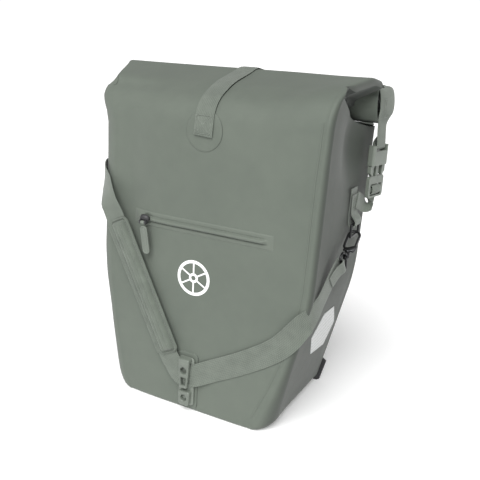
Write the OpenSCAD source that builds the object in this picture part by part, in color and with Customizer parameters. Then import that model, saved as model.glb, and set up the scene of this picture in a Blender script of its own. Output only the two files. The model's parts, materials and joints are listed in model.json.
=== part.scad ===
/* [Bag shell] */
// Width of the bag at its base
base_w = 224; // [210:2:230]
// Width where the side gussets bend
bend_w = 310; // [304:2:312]
// Height of the bend in the side gussets
bend_z = 185; // [175:5:195]
// Width at the shoulder, where the front starts to curve back
shoulder_w = 322; // [318:1:324]
// Height of the shoulder
shoulder_z = 385; // [383:1:387]
// Distance from the origin forward to the front face
front_y = 88; // [88:1:88]
// Distance from the origin back to the rear panel
rear_y = 84; // [84:1:84]
// Thickness of the coated fabric with its weld allowance
fabric_t = 2; // [1.5:0.5:2]

/* [Rolled top] */
// Width of the closure at its crest
crest_w = 349; // [346:1:350]
// Width of the roll between its end straps
roll_w = 342; // [338:2:342]
// Width of the stiffener strip inside the roll
stiffener_w = 31; // [28:1:31]

/* [Webbing] */
// Width of the shoulder strap and the side straps
side_web = 30; // [28:1:30]
// Width of the strap over the top
top_web = 25; // [22:1:25]
// Thickness of the webbing
web_t = 1.8; // [1.5:0.1:1.8]

/* [Front zip] */
// Left end of the zip opening
zip_left = -84; // [-86:1:-82]
// Right end of the zip opening
zip_right = 94; // [90:1:96]
// Height of the zip
zip_z = 257; // [250:1:262]

/* [Shoulder pad] */
// Width of the pad
pad_w = 40; // [36:1:42]
// Thickness of the padded cover
pad_t = 8; // [6:1:9]

/* [Rack mounting] */
// Height of the axis of the rack tube that the hooks hold
hook_z = 282; // [280:1:284]
// Distance from the middle to each upper hook
hook_x = 80; // [75:1:90]
// Radius of the hook throat, for a 16 mm rack tube
throat_r = 8; // [8:0.5:8]

/* [Hidden] */
$fn = 48;

// Colours
sage = [0.47, 0.51, 0.46];
sage_dark = [0.40, 0.44, 0.39];
black = [0.10, 0.10, 0.11];
metal = [0.18, 0.18, 0.19];
steel = [0.70, 0.71, 0.73];
reflex = [0.80, 0.81, 0.80];
board_grey = [0.30, 0.31, 0.32];

// Places that several pieces share
top_x = 5;                 // middle of the strap over the top
chain_x = 173.5;           // middle of each side buckle
chain_y = 58;
chain_scale = 25 / 30;       // the side buckles take 25 mm webbing
chain_turn = 12;           // the side buckles face a little forwards
mouth_z = 338;             // mouth of the female side buckles
prong_root = [15.2, -14.2]; // in the buckle's own frame
rear_scale = top_web / side_web;
rear_chain_y = 96.5;
rear_mouth_z = 356;
keeper_x = -8;             // strap keeper on the front
rivet_z = [26, 70];
rivet_r = 1.55;
tongue_top = 75.5;
strap_y = 92.5;            // back of the shoulder strap's front run, ahead of the origin
ring_y = 24;               // middle of the side rings
ring_x = 164;              // upper bar of the side rings
ring_z = 267.6;
ring_gap = 16;             // between the middles of a ring's two long bars
ring_span = 30.6;
wire_r = 1.5;
hook_reach = 47;           // from the middle of the hook's end to the far bar of the swivel eye
hook_r = 8.6;              // outside of the hook's rounded end
hook_hole_r = 5.8;
eye_half = 17;
gate_pivot = [7.1, -17.4];
right_hook_drop = 38;      // degrees below the horizontal, towards the front
left_hook_drop = -31;
hook_x_side = 166.8;
// The right hook holds the ring's lower bar, the left one the ring's front bar
right_hook = [hook_x_side, 15.1, ring_z - ring_gap + 0.9];
left_hook = [-hook_x_side, ring_y - ring_span / 2 - 0.1, 260.6];
slider_x = -76;
pivot_y = 96.6;            // puller pin
pivot_z = 252.6;
pin_r = 1.1;
pin_gap = 0.06;
pad_low = [-36, 78];
pad_high = [-130, 244];
rail_low = 262;
rail_high = 290;
rail_t = 6;
lower_z = 96;
rail_screw_x = [-104, -52, 52, 104];
rail_screw_z = 276;
lower_screw_x = [-60, 60];
screw_r = 2.1;
far = 400;

// The front fabric runs up and curves back over the top (distance forward is negative)
shoulder_line = [[-88, 384], [-86, 393], [-78, 404]];
cover_line = [[-77.3, 404.7], [-64, 414], [-37, 430], [0, 441], [20, 445], [37.2, 442.2]];
roll_outline = [
    [40, 444], [56, 439], [79, 425], [97, 411], [102, 400], [98, 391],
    [86, 388], [60, 388], [44, 394], [36, 406], [35, 424], [37, 438]
];
roll_mid = [68, 412];

// Direction across a line of points at point i
function across(p, q) = let (d = q - p) [d[1], -d[0]] / norm(d);
function mitre(pts, i) =
    let (a = across(pts[max(i - 1, 0)], pts[max(i, 1)]),
         b = across(pts[min(i, len(pts) - 2)], pts[min(i + 1, len(pts) - 1)]))
    (a + b) / (1 + a * b);

// Outline of a strip of even width that follows a line of points
function strip(pts, low, high) = concat(
    [for (i = [0 : len(pts) - 1]) pts[i] + low * mitre(pts, i)],
    [for (i = [len(pts) - 1 : -1 : 0]) pts[i] + high * mitre(pts, i)]);

// Half width of the bag at a height
function half_w(z) = z < bend_z
    ? (base_w + (bend_w - base_w) * z / bend_z) / 2
    : (bend_w + (shoulder_w - bend_w) * (z - bend_z) / (shoulder_z - bend_z)) / 2;

// A flat shape in X and Z, from y back towards the front by t
module upright(y, t) {
    translate([0, y, 0]) rotate([90, 0, 0]) linear_extrude(t) children();
}

// A flat shape in Y and Z, from x outwards by t
module sideways(x, t) {
    translate([x, 0, 0]) rotate([90, 0, 90]) linear_extrude(t) children();
}

module mirrored(side) {
    mirror([side < 0 ? 1 : 0, 0, 0]) children();
}

// A bar with round section between two points
module bar(p, q, r) {
    d = q - p;
    translate(p) rotate([0, acos(d[2] / norm(d)), atan2(d[1], d[0])]) cylinder(r = r, h = norm(d));
}

module rounded_plate(w, h, r) {
    square([w - 2 * r, h], center = true);
    square([w, h - 2 * r], center = true);
    for (x = [-1, 1], z = [-1, 1]) translate([x * (w / 2 - r), z * (h / 2 - r)]) circle(r);
}

// ---------------------------------------------------------------- shell

module front_outline(top) {
    polygon([
        [-half_w(fabric_t), fabric_t], [half_w(fabric_t), fabric_t], [bend_w / 2, bend_z],
        [half_w(top), top], [-half_w(top), top], [-bend_w / 2, bend_z]
    ]);
}

module front_panel() color(sage) {
    difference() {
        upright(-front_y + fabric_t, fabric_t) front_outline(shoulder_z);
        translate([zip_left, -front_y - 1, zip_z - 4.8]) cube([zip_right - zip_left, 4, 9.6]);
        rivet_holes();
    }
    sideways(-shoulder_w / 2, shoulder_w) polygon(strip(shoulder_line, 0, fabric_t));
}

module rear_panel() color(sage) {
    difference() {
        upright(rear_y, fabric_t) front_outline(383);
        screw_holes();
    }
}

module gusset(side) color(sage_dark) mirrored(side) {
    intersection() {
        upright(rear_y - fabric_t, front_y + rear_y - 2 * fabric_t) polygon([
            [base_w / 2, 0], [bend_w / 2, bend_z], [shoulder_w / 2, shoulder_z], [shoulder_w / 2 + 1, 425],
            [shoulder_w / 2 - 1.05, 425], [shoulder_w / 2 - 2.05, shoulder_z],
            [bend_w / 2 - 2.05, bend_z], [base_w / 2 - 2.05, 0]
        ]);
        sideways(0, far / 2) polygon([
            [-front_y + 2, fabric_t], [rear_y - 2, fabric_t], [rear_y - 2, 383], [66, 381],
            [-50, 419], [-62, 411], [-76, 401], [-83.5, 391], [-front_y + 2, 383]
        ]);
    }
}

module bottom_panel() color(sage_dark) {
    translate([-base_w / 2, -front_y, 0]) cube([base_w, front_y + rear_y, fabric_t]);
}

module back_board() color(board_grey) {
    difference() {
        upright(rear_y - fabric_t - 0.05, 2.4) polygon([
            [-96, 6], [96, 6], [134, 180], [138, 362], [-138, 362], [-134, 180]
        ]);
        screw_holes();
    }
}

module bottom_guard() color(black) {
    upright(rear_y + 2.6, 2.5) polygon([
        [-base_w / 2 - 4, 3], [-base_w / 2, 0], [base_w / 2, 0], [base_w / 2 + 4, 3],
        [base_w / 2 + 12, 34], [base_w / 2 + 4, 40], [-base_w / 2 - 4, 40], [-base_w / 2 - 12, 34]
    ]);
}

// ---------------------------------------------------------------- front zip

zip_mid = (zip_left + zip_right) / 2;
zip_len = zip_right - zip_left;

module zip_welt() color(sage) {
    upright(-front_y - 0.02, 3) difference() {
        translate([zip_mid - 3, zip_z]) rounded_plate(zip_len + 26, 19.6, 6);
        translate([zip_left, zip_z - 4.8]) square([zip_len, 9.6]);
    }
}

module zip_tape() color(sage_dark) {
    upright(-front_y + fabric_t + 1.02, 1) translate([zip_mid, zip_z]) square([zip_len + 16, 24], center = true);
    upright(-front_y + fabric_t + 0.2, 2.2) translate([zip_mid, zip_z]) square([zip_len - 1, 4], center = true);
}

module pocket_pouch() color(sage_dark) {
    upright(-front_y + fabric_t + 3.2, 1.6) translate([0, 190]) rounded_plate(216, 170, 12);
}

module zip_slider() color(black) {
    translate([slider_x - 7, -front_y - 6, zip_z - 4.2]) cube([14, 5.3, 8.4]);
    for (x = [-5, 3.2]) translate([slider_x + x, -pivot_y - 1.8, pivot_z - 1.8]) cube([1.8, 5, 4.6]);
    bar([slider_x - 4, -pivot_y, pivot_z], [slider_x + 4, -pivot_y, pivot_z], pin_r);
}

module zip_puller() color(sage_dark) {
    difference() {
        union() {
            translate([slider_x - 2.8, -pivot_y, pivot_z]) rotate([0, 90, 0]) cylinder(r = 2.3, h = 5.6);
            translate([slider_x - 2.8, -pivot_y - 1.2, pivot_z - 5.4]) cube([5.6, 2.4, 5]);
        }
        translate([slider_x - 6, -pivot_y, pivot_z]) rotate([0, 90, 0]) cylinder(r = pin_r + pin_gap, h = 12);
    }
    upright(-pivot_y + 1.3, 2.6) translate([slider_x, pivot_z]) rotate(9) translate([0, -23])
        rounded_plate(11, 37, 3.5);
}

// ---------------------------------------------------------------- top strap on the front

module strap_patch() color(sage) {
    translate([top_x, -front_y - 0.02, 358]) rotate([90, 0, 0]) cylinder(r = 25, h = 1.4);
}

module top_strap_sewn() color(sage_dark) {
    sideways(top_x - top_web / 2, top_web)
        polygon(strip([[-89.5, 352], [-89.5, 385], [-87.2, 394], [-79.66, 404.1]], -web_t - 0.2, 0));
}

module top_strap() color(sage_dark) {
    sideways(top_x - top_web / 2, top_web) polygon(strip([
        [-80.3, 405.3], [-66.5, 416.6], [-39, 433.2], [-1, 444.3], [21, 447.6], [41, 446.4], [57.5, 441.2],
        [81, 427], [99.4, 412.6], [105, 400], [101.4, 388], [rear_chain_y + 2.9, 380],
        [rear_chain_y + 2.9, rear_mouth_z + 20], [rear_chain_y - 2.9, rear_mouth_z + 20],
        [rear_chain_y - 2.9, rear_mouth_z + 30]
    ], -web_t / 2 + 0.1, web_t / 2));
}

// ---------------------------------------------------------------- strap keeper

module keeper_patch() color(sage_dark) {
    difference() {
        upright(-front_y - 0.02, 1.1) translate([keeper_x, 45]) rounded_plate(32, 82, 6);
        rivet_holes();
    }
}

module rivet_holes() {
    for (z = rivet_z) translate([keeper_x, -front_y + 6, z]) rotate([90, 0, 0]) cylinder(r = rivet_r + 0.05, h = 20);
}

module keeper_plate() color(sage) {
    difference() {
        union() {
            upright(-front_y - 1.2, 2.4) translate([keeper_x, 45]) rounded_plate(24, 70, 5);
            upright(-front_y - 3, 8.2) translate([keeper_x, 21.5]) rounded_plate(17, 21, 3);
            translate([keeper_x - 8, -front_y - 11.6, tongue_top + 0.5]) cube([16, 9.2, 4]);
        }
        rivet_holes();
        translate([keeper_x, -front_y - 7, 21.5]) rotate([90, 0, 0]) cylinder(r = 4.2, h = 6);
    }
}

// The tongue's rounded upper end is where it bends
module keeper_tongue() color(sage) {
    difference() {
        union() {
            upright(-front_y - 7.6, 4) polygon([
                [keeper_x - 8, tongue_top - 2], [keeper_x + 8, tongue_top - 2], [keeper_x + 8, 41],
                [keeper_x + 5, 37.6], [keeper_x - 5, 37.6], [keeper_x - 8, 41]
            ]);
            translate([keeper_x - 8, -front_y - 9.6, tongue_top - 2]) rotate([0, 90, 0]) cylinder(r = 2, h = 16);
            translate([keeper_x - 5, -front_y - 7.8, 37.6]) cube([10, 1.2, 2.6]);
        }
        translate([keeper_x, -front_y, 63]) rotate([90, 0, 0]) cylinder(r = 4.6, h = 20);
        upright(-front_y - 9.6, 4) polygon([
            [keeper_x - 5, 42], [keeper_x + 5, 42], [keeper_x + 4, 52], [keeper_x - 4, 52]
        ]);
    }
}

module keeper_rivets() color(steel) {
    for (z = rivet_z) translate([keeper_x, 0, z]) {
        translate([0, -front_y + fabric_t + 1, 0]) rotate([90, 0, 0]) cylinder(r = rivet_r, h = 6.5);
        translate([0, -front_y + fabric_t + 2, 0]) rotate([90, 0, 0]) cylinder(r = 4, h = 1.2);
    }
}

// ---------------------------------------------------------------- reflectors

module reflector(side) color(reflex) mirrored(side) {
    lean = atan((bend_w - base_w) / 2 / bend_z);
    translate([base_w / 2 + 0.1, 0, 0]) rotate([0, lean, 0]) sideways(0, 0.8) polygon([
        [-36, 125], [-11, 155], [30, 151], [61, 115], [42, 84], [-12, 92]
    ]);
}

// ---------------------------------------------------------------- side-release buckle
// Local frame: width along Y, thickness along X, the female's mouth at Z = 0

module buckle_female() {
    difference() {
        linear_extrude(30) rounded_plate(12, 44, 3.5);
        translate([-3.3, -19.5, -1]) cube([6.6, 39, 20]);
        for (x = [-9.2, 2.2]) translate([x, -16, 21.5]) cube([7, 32, 10]);
        translate([-8, -16, 21.5]) cube([16, 32, 4.5]);
    }
}

module buckle_frame() {
    difference() {
        sideways(-2.5, 5) translate([0, -33.5]) rounded_plate(44, 33, 5);
        for (z = [-47, -35]) translate([-5, -16, z]) cube([10, 32, 6]);
    }
    translate([-2, -4, -17.5]) cube([4, 8, 33]);
}

// A prong bends at its rounded root
module buckle_prong(side) {
    mirror([0, side < 0 ? 1 : 0, 0]) sideways(-2.6, 5.2) {
        translate(prong_root) circle(2.4);
        polygon([
            [prong_root[0] - 2.3, prong_root[1]], [prong_root[0] + 2.3, prong_root[1]], [21.8, -11], [21.8, -1.2],
            [18.6, -0.6], [18.1, 2], [18.1, 13], [16, 16], [13.5, 16], [13, 10], [13.5, 0], [12.6, -8]
        ]);
    }
}

module on_chain() {
    translate([chain_x, chain_y, mouth_z]) rotate([0, 0, -chain_turn]) scale(chain_scale) children();
}

module at_chain(side) {
    mirrored(side) on_chain() children();
}

module at_rear_chain() {
    translate([top_x, rear_chain_y, rear_mouth_z]) rotate([0, 0, 90]) scale(rear_scale) children();
}

module buckle_male_rear() color(sage) at_rear_chain() {
    buckle_frame();
    for (side = [-1, 1]) {
        buckle_prong(side);
        translate([-2.4, side * 15 - 2.4, -18]) cube([4.8, 4.8, 2]);
    }
}

module end_strap(side) color(sage_dark) at_chain(side) {
    upright(side_web / 2, side_web) polygon(strip(
        [[3.4, 97], [3.4, 24], [-3.4, 24], [-3.4, 36], [1.4, 42]], -web_t / 2, web_t / 2));
}

module side_strap(side) color(sage_dark) mirrored(side) {
    upright(ring_y + 12.5, 25) polygon(strip(
        [[159.8, 312], [158.8, ring_z + 3.8], [ring_x - 2.6, ring_z - 3.8], [ring_x + 2, ring_z - 3.8],
         [ring_x + 3.8, ring_z], [ring_x + 2.6, ring_z + 4.8], [162, ring_z + 12.8], [162.4, 298]],
        -web_t / 2, web_t / 2));
    hull() {
        translate([159.2, ring_y - 11, 298]) cube([2.6, 24, 13]);
        translate([163, ring_y + 20, 284]) cube([2, 20, 11]);
    }
    hull() {
        translate([163, ring_y + 20, 284]) cube([2, 20, 11]);
        on_chain() translate([-5.3, -14.7, -58]) cube([2.4, 29.4, 5]);
    }
    on_chain() upright(15, 30) polygon(strip(
        [[-4.1, -56], [-4.1, -32], [4.1, -32], [4.1, -44], [-1, -44]], -web_t / 2, web_t / 2));
}

module rear_anchor_strap() color(sage_dark) {
    x0 = rear_chain_y;
    z0 = rear_mouth_z;
    sideways(top_x - top_web / 2, top_web) polygon(strip([
        [rear_y + 1.2, 294], [rear_y + 1.2, 304], [x0 - 3.8, 313], [x0 - 3.8, z0 - 26.7],
        [x0 + 3.8, z0 - 26.7], [x0 + 3.8, z0 - 36.7], [x0 - 0.8, z0 - 36.7]
    ], -web_t / 2, web_t / 2));
}

// ---------------------------------------------------------------- shoulder strap

module front_run(pts, w, y, t) {
    upright(y, t) polygon(strip(pts, -w / 2, w / 2));
}

strap_front = [
    [-162.9, 316], [-152, 305], [-137, 261], pad_high, pad_low, [-24, 60], [-8, 51], [67, 88], [121, 123],
    [150, 158], [158.6, 168]
];

function hook_point(h, drop, u) = [h[1] - u * cos(drop), h[2] - u * sin(drop)];

module strap_side_run(h, drop, edge_z, x) {
    end = hook_point(h, drop, hook_reach + 4);
    sideways(x, web_t) polygon(strip([[-strap_y - web_t, edge_z], [-strap_y + 6, edge_z], end],
        -side_web / 2, side_web / 2));
}

module shoulder_strap() color(sage_dark) {
    difference() {
        front_run(strap_front, side_web, -strap_y, web_t);
        translate([-far / 2 - 161.4 - web_t, -far / 2, 0]) cube([far / 2, far, far + 100]);
        translate([158.4 + web_t, -far / 2, 0]) cube([far / 2, far, far + 100]);
    }
    strap_side_run(right_hook, right_hook_drop, 166, 158.4);
    strap_side_run(left_hook, left_hook_drop, 316, -161.4 - web_t);
    strap_loop(1, right_hook, right_hook_drop, 158.4);
    strap_loop(-1, left_hook, left_hook_drop, 161.4);
}

// The strap's sewn end goes round the far bar of the swivel eye
module strap_loop(side, h, drop, x) mirrored(side)
    translate([abs(h[0]), h[1], h[2]]) rotate([drop, 0, 0]) translate([0, -hook_reach, 0])
        linear_extrude(24, center = true) polygon(strip(
            [[x - abs(h[0]) + web_t / 2, -6], [x - abs(h[0]) + web_t / 2, 0], [-3, 3.3], [0, 3.6], [3.3, 1.6],
             [3.4, -2], [x - abs(h[0]) + web_t / 2 + 1.2, -9]], -0.8, 0.8));

module pad_sleeve() color(sage_dark) {
    along = (pad_high - pad_low) / norm(pad_high - pad_low);
    side = [along[1], -along[0]];
    front_run([pad_low - 7 * side + 8 * along, pad_high - 7 * side - 4 * along], pad_w - 4, -front_y - 0.9, 2.8);
}

module pad_cover() color(sage) {
    middle = (pad_low + pad_high) / 2;
    run = pad_high - pad_low;
    upright(-strap_y - web_t - 0.3, pad_t) translate(middle) rotate(-atan2(run[0], run[1]))
        rounded_plate(pad_w, norm(run), 6);
}

// ---------------------------------------------------------------- side rings and snap hooks

module ring(side) color(metal) mirrored(side)
    translate([ring_x, ring_y, ring_z]) {
        for (z = [0, -ring_gap])
            bar([0, -ring_span / 2, z], [0, ring_span / 2, z], wire_r);
        for (y = [-1, 1]) {
            bar([0, y * ring_span / 2, -ring_gap], [0, y * ring_span / 2, 0], wire_r);
            for (z = [0, -ring_gap]) translate([0, y * ring_span / 2, z]) sphere(wire_r);
        }
    }

// Local frame of a hook: -Y runs to the swivel eye, the hook's loop lies in X and Y
module at_hook(side, h, drop) {
    mirrored(side) translate([abs(h[0]), h[1], h[2]]) rotate([drop, 0, 0]) children();
}

module hook_body() {
    translate([0, 0, -1.9]) linear_extrude(3.8) difference() {
        union() {
            translate([-hook_r, -24]) square([2 * hook_r, 24]);
            circle(hook_r);
            translate([-6, -28]) square([12, 5]);
        }
        translate([-hook_hole_r, -19.6]) square([2 * hook_hole_r, 19.6]);
        circle(hook_hole_r);
        translate([4, -19.6]) square([6, 18.2]);
    }
    translate([0, -35, 0]) rotate([-90, 0, 0]) cylinder(r = 2, h = 8);
    translate([0, -36.2, 0]) rotate([-90, 0, 0]) cylinder(r = 3, h = 1.6);
}

module hook_gate() {
    translate([0, 0, -1.8]) linear_extrude(3.6) {
        translate(gate_pivot) circle(1.5);
        translate([gate_pivot[0] - 1.3, gate_pivot[1]]) square([2.6, -1.8 - gate_pivot[1]]);
    }
}

module eye_body() {
    difference() {
        union() {
            translate([0, -33.5, 0]) rotate([-90, 0, 0]) cylinder(r = 4.6, h = 5.2);
            sideways(-wire_r, 2 * wire_r) difference() {
                polygon([
                    [-29, -5.4], [-29, 5.4], [-36, eye_half], [-hook_reach - wire_r, eye_half],
                    [-hook_reach - wire_r, -eye_half], [-36, -eye_half]
                ]);
                polygon([
                    [-33.5, -4.4], [-33.5, 4.4], [-38.6, eye_half - 3.4], [-hook_reach + wire_r, eye_half - 3.4],
                    [-hook_reach + wire_r, 3.4 - eye_half], [-38.6, 3.4 - eye_half]
                ]);
            }
        }
        translate([0, -34.5, 0]) rotate([-90, 0, 0]) cylinder(r = 2.3, h = 9);
    }
}

module strap_eyes() color(metal) {
    at_hook(1, right_hook, right_hook_drop) eye_body();
    at_hook(-1, left_hook, left_hook_drop) eye_body();
}

// ---------------------------------------------------------------- rolled top

module top_cover() color(sage) {
    intersection() {
        sideways(-crest_w / 2, crest_w) polygon(strip(cover_line, 0, fabric_t));
        upright(far / 2, far) polygon([
            [-shoulder_w / 2, 395], [shoulder_w / 2, 395], [crest_w / 2 - 5, 425], [crest_w / 2, 441],
            [crest_w / 2, 450], [-crest_w / 2, 450], [-crest_w / 2, 441], [-crest_w / 2 + 5, 425]
        ]);
    }
}

module roll() color(sage) {
    sideways(-roll_w / 2, roll_w) difference() {
        polygon(roll_outline);
        polygon([for (p = roll_outline) roll_mid + 0.8 * (p - roll_mid)]);
    }
}

// The strip lies in the middle of the roll, between its turns
module roll_stiffener() color(board_grey) {
    translate([0, roll_mid[0], roll_mid[1]]) rotate([-32, 0, 0])
        cube([roll_w - 8, stiffener_w, 2.2], center = true);
}

// ---------------------------------------------------------------- rack mounting

module mount_rail() color(black) {
    difference() {
        upright(rear_y + rail_t + 0.1, rail_t) translate([0, (rail_low + rail_high) / 2])
            rounded_plate(236, rail_high - rail_low, 4);
        screw_holes();
    }
}

// Throat of the hook: centre of the rack tube; and the latch that closes it
tube_y = rear_y + rail_t + 14.5;
plate_y = rear_y + rail_t + 0.2;
hook_half = 13;
latch_half = 9;
latch_y = plate_y + 2.9;
latch_z = hook_z - 28;
latch_pin_r = 1.4;

module upper_hook(side) color(black) {
    translate([side * hook_x, 0, 0]) {
        sideways(-hook_half, 2 * hook_half) difference() {
            union() {
                translate([plate_y, hook_z - 22]) square([5.5, 44]);
                translate([tube_y, hook_z]) circle(throat_r + 5);
                translate([tube_y + throat_r, hook_z - 12]) square([5, 12]);
                translate([plate_y, hook_z]) square([14, 13]);
            }
            translate([tube_y, hook_z]) circle(throat_r);
            translate([tube_y - throat_r, hook_z - 40]) square([2 * throat_r, 40]);
        }
        for (x = [-hook_half, hook_half - 3.4])
            translate([x, plate_y, latch_z - 4]) cube([3.4, 5.5, hook_z - 20 - latch_z + 4]);
        bar([-hook_half + 1, latch_y, latch_z], [hook_half - 1, latch_y, latch_z], latch_pin_r);
    }
}

// The latch closes the throat from below and turns on a pin between the hook's ears
module latch(side) color(black) {
    translate([side * hook_x, 0, 0]) difference() {
        sideways(-latch_half, 2 * latch_half) union() {
            translate([latch_y, latch_z]) circle(3.2);
            polygon([
                [latch_y, latch_z - 3.2], [tube_y + 8, latch_z + 8], [tube_y + 8, latch_z + 12],
                [tube_y - 5, latch_z + 8], [latch_y + 2, latch_z + 2.6]
            ]);
        }
        bar([-20, latch_y, latch_z], [20, latch_y, latch_z], latch_pin_r + 0.06);
    }
}

// The bar that opens both latches, with a grip for the fingers
module pull_bar() color(black) {
    upright(plate_y + 7, 5) difference() {
        union() {
            translate([0, 274]) rounded_plate(2 * (hook_x - hook_half - 1), 9, 3);
            translate([0, 259]) rounded_plate(76, 28, 6);
        }
        translate([0, 258.5]) rounded_plate(60, 15, 5);
    }
}

module lower_rail() color(black) {
    difference() {
        upright(rear_y + 5.1, 5) translate([0, lower_z]) rounded_plate(150, 26, 4);
        screw_holes();
        translate([0, rear_y - 1, lower_z]) rotate([-90, 0, 0]) cylinder(r = 3.05, h = 12);
    }
}

module lower_hook() color(black) {
    translate([0, rear_y + 1, lower_z]) rotate([-90, 0, 0]) cylinder(r = 3, h = 8);
    translate([0, rear_y + 5.4, lower_z]) rotate([-90, 0, 0]) cylinder(r = 11, h = 4);
    translate([-9, rear_y + 5.4, lower_z - 40]) cube([18, 4, 40]);
    translate([-9, rear_y + 9, lower_z - 40]) cube([18, 16, 4]);
    translate([-9, rear_y + 22, lower_z - 40]) cube([18, 4, 22]);
}

module rail_screws() color(steel) {
    for (x = rail_screw_x) screw(x, rail_screw_z, rail_t);
    for (x = lower_screw_x) screw(x, lower_z, 5);
}

module screw_holes() {
    for (x = rail_screw_x) screw_hole(x, rail_screw_z);
    for (x = lower_screw_x) screw_hole(x, lower_z);
}

module screw_hole(x, z) {
    translate([x, rear_y - 8, z]) rotate([-90, 0, 0]) cylinder(r = screw_r + 0.1, h = 20);
}

// Pan head screw with a washer plate inside the back board
module screw(x, z, t) {
    translate([x, rear_y + t + 0.12, z]) rotate([-90, 0, 0]) cylinder(r = 3.8, h = 1.6);
    translate([x, rear_y - 7, z]) rotate([-90, 0, 0]) cylinder(r = screw_r, h = 7.5 + t);
    translate([x, rear_y - 7.2, z]) rotate([-90, 0, 0]) cylinder(r = 5, h = 2.2);
}

// ---------------------------------------------------------------- nodes

front_panel();
rear_panel();
gusset(-1);  // gusset_left
gusset(1);  // gusset_right
bottom_panel();
back_board();
bottom_guard();
zip_welt();
zip_tape();
pocket_pouch();
zip_slider();
zip_puller();
strap_patch();
top_strap_sewn();
keeper_patch();
keeper_plate();
keeper_tongue();
keeper_rivets();
reflector(-1);  // reflector_left
reflector(1);  // reflector_right
side_strap(-1);  // side_strap_left
side_strap(1);  // side_strap_right
shoulder_strap();
pad_cover();
pad_sleeve();
ring(-1);  // ring_left
ring(1);  // ring_right
strap_eyes();
color(metal) at_hook(-1, left_hook, left_hook_drop) hook_body();  // hook_left
color(metal) at_hook(1, right_hook, right_hook_drop) hook_body();  // hook_right
color(metal) at_hook(-1, left_hook, left_hook_drop) hook_gate();  // gate_left
color(metal) at_hook(1, right_hook, right_hook_drop) hook_gate();  // gate_right
top_cover();
roll();
roll_stiffener();
end_strap(-1);  // end_strap_left
end_strap(1);  // end_strap_right
top_strap();
color(sage) at_chain(-1) buckle_female();  // buckle_female_left
color(sage) at_chain(1) buckle_female();  // buckle_female_right
color(sage) at_rear_chain() buckle_female();  // buckle_female_rear
color(sage) at_chain(-1) buckle_frame();  // buckle_male_left
color(sage) at_chain(1) buckle_frame();  // buckle_male_right
buckle_male_rear();
color(sage) at_chain(-1) buckle_prong(-1);  // prong_left_front
color(sage) at_chain(-1) buckle_prong(1);  // prong_left_rear
color(sage) at_chain(1) buckle_prong(-1);  // prong_right_front
color(sage) at_chain(1) buckle_prong(1);  // prong_right_rear
rear_anchor_strap();
mount_rail();
upper_hook(-1);  // upper_hook_left
upper_hook(1);  // upper_hook_right
latch(-1);  // latch_left
latch(1);  // latch_right
pull_bar();
lower_rail();
lower_hook();
rail_screws();
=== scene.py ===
"""Looks of the roll-top pannier bag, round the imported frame. Blender is in metres, the shape code in mm."""

import json
import math

import bmesh
import bpy
import numpy as np
from mathutils import Matrix, Vector
from mathutils.geometry import tessellate_polygon


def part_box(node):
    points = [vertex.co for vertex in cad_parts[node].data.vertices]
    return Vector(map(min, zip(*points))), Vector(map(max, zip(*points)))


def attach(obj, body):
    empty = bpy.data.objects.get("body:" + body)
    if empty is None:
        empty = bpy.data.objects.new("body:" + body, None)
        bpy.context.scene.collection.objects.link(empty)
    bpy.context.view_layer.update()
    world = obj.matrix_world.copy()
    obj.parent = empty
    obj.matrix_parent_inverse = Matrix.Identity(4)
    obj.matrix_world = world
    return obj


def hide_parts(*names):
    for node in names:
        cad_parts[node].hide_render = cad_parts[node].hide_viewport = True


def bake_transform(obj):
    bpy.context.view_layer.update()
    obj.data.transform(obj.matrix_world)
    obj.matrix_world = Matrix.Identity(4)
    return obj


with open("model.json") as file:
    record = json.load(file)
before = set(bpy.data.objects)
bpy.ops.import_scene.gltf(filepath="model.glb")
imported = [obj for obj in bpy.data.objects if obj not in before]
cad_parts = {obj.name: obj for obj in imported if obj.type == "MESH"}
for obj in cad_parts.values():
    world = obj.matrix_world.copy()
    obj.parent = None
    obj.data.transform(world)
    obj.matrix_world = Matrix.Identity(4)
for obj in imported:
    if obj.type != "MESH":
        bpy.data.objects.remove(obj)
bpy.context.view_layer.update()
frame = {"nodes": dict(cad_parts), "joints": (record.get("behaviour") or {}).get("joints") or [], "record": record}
MM = 0.001
JOINTS = {j["name"]: j for j in frame["joints"]}


def mm_box(node):
    """Lowest and highest corner of a CAD node, in millimetres."""
    low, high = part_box(node)
    return np.array(low) / MM, np.array(high) / MM


def mm_mid(node):
    low, high = mm_box(node)
    return (low + high) / 2


# ------------------------------------------------------------------ driving sizes, from the frame

FRONT = mm_box("front_panel")[0][1]
REAR = mm_box("rear_panel")[1][1]
SHOULDER_W = mm_box("front_panel")[1][0]
BASE_W = mm_box("bottom_panel")[1][0]
REAR_TOP = mm_box("rear_panel")[1][2]
CREST_W = mm_box("top_cover")[1][0]
ROLL_W = mm_box("roll")[1][0]
BEND_W = SHOULDER_W - 6          # half width where the side gussets bend
BEND_Z = 185
SHOULDER_Z = 385
SKIN = 0.9                       # thickness of the coated fabric
WEB = 1.5                        # thickness of the webbing
TOP_STRAP_X = mm_mid("top_strap")[0]
SEWN_RISE = 18                   # the strap's sewn end and its patch sit this much higher than in CAD


# ------------------------------------------------------------------ small helpers

RIGHT = np.array([1.0, 0, 0])
UP = np.array([0, 0, 1.0])
OUT = np.array([0, -1.0, 0])      # towards the front


def smooth(t):
    t = np.clip(t, 0, 1)
    return t * t * (3 - 2 * t)


def mix(a, b, t):
    return a + (b - a) * t


def unit(v):
    v = np.asarray(v, float)
    return v / np.maximum(np.linalg.norm(v, axis=-1, keepdims=True), 1e-9)


def waves(points, size, seed):
    """Smooth random values, mostly within -1 to 1, with features of about the given size in mm."""
    rng = np.random.default_rng(seed)
    total = np.zeros(points.shape[:-1])
    for _ in range(7):
        direction = unit(rng.normal(size=3))
        length = size * rng.uniform(1.1, 2.4)
        total += np.sin(points @ direction * 2 * np.pi / length + rng.uniform(0, 2 * np.pi))
    return total / 3


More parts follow.
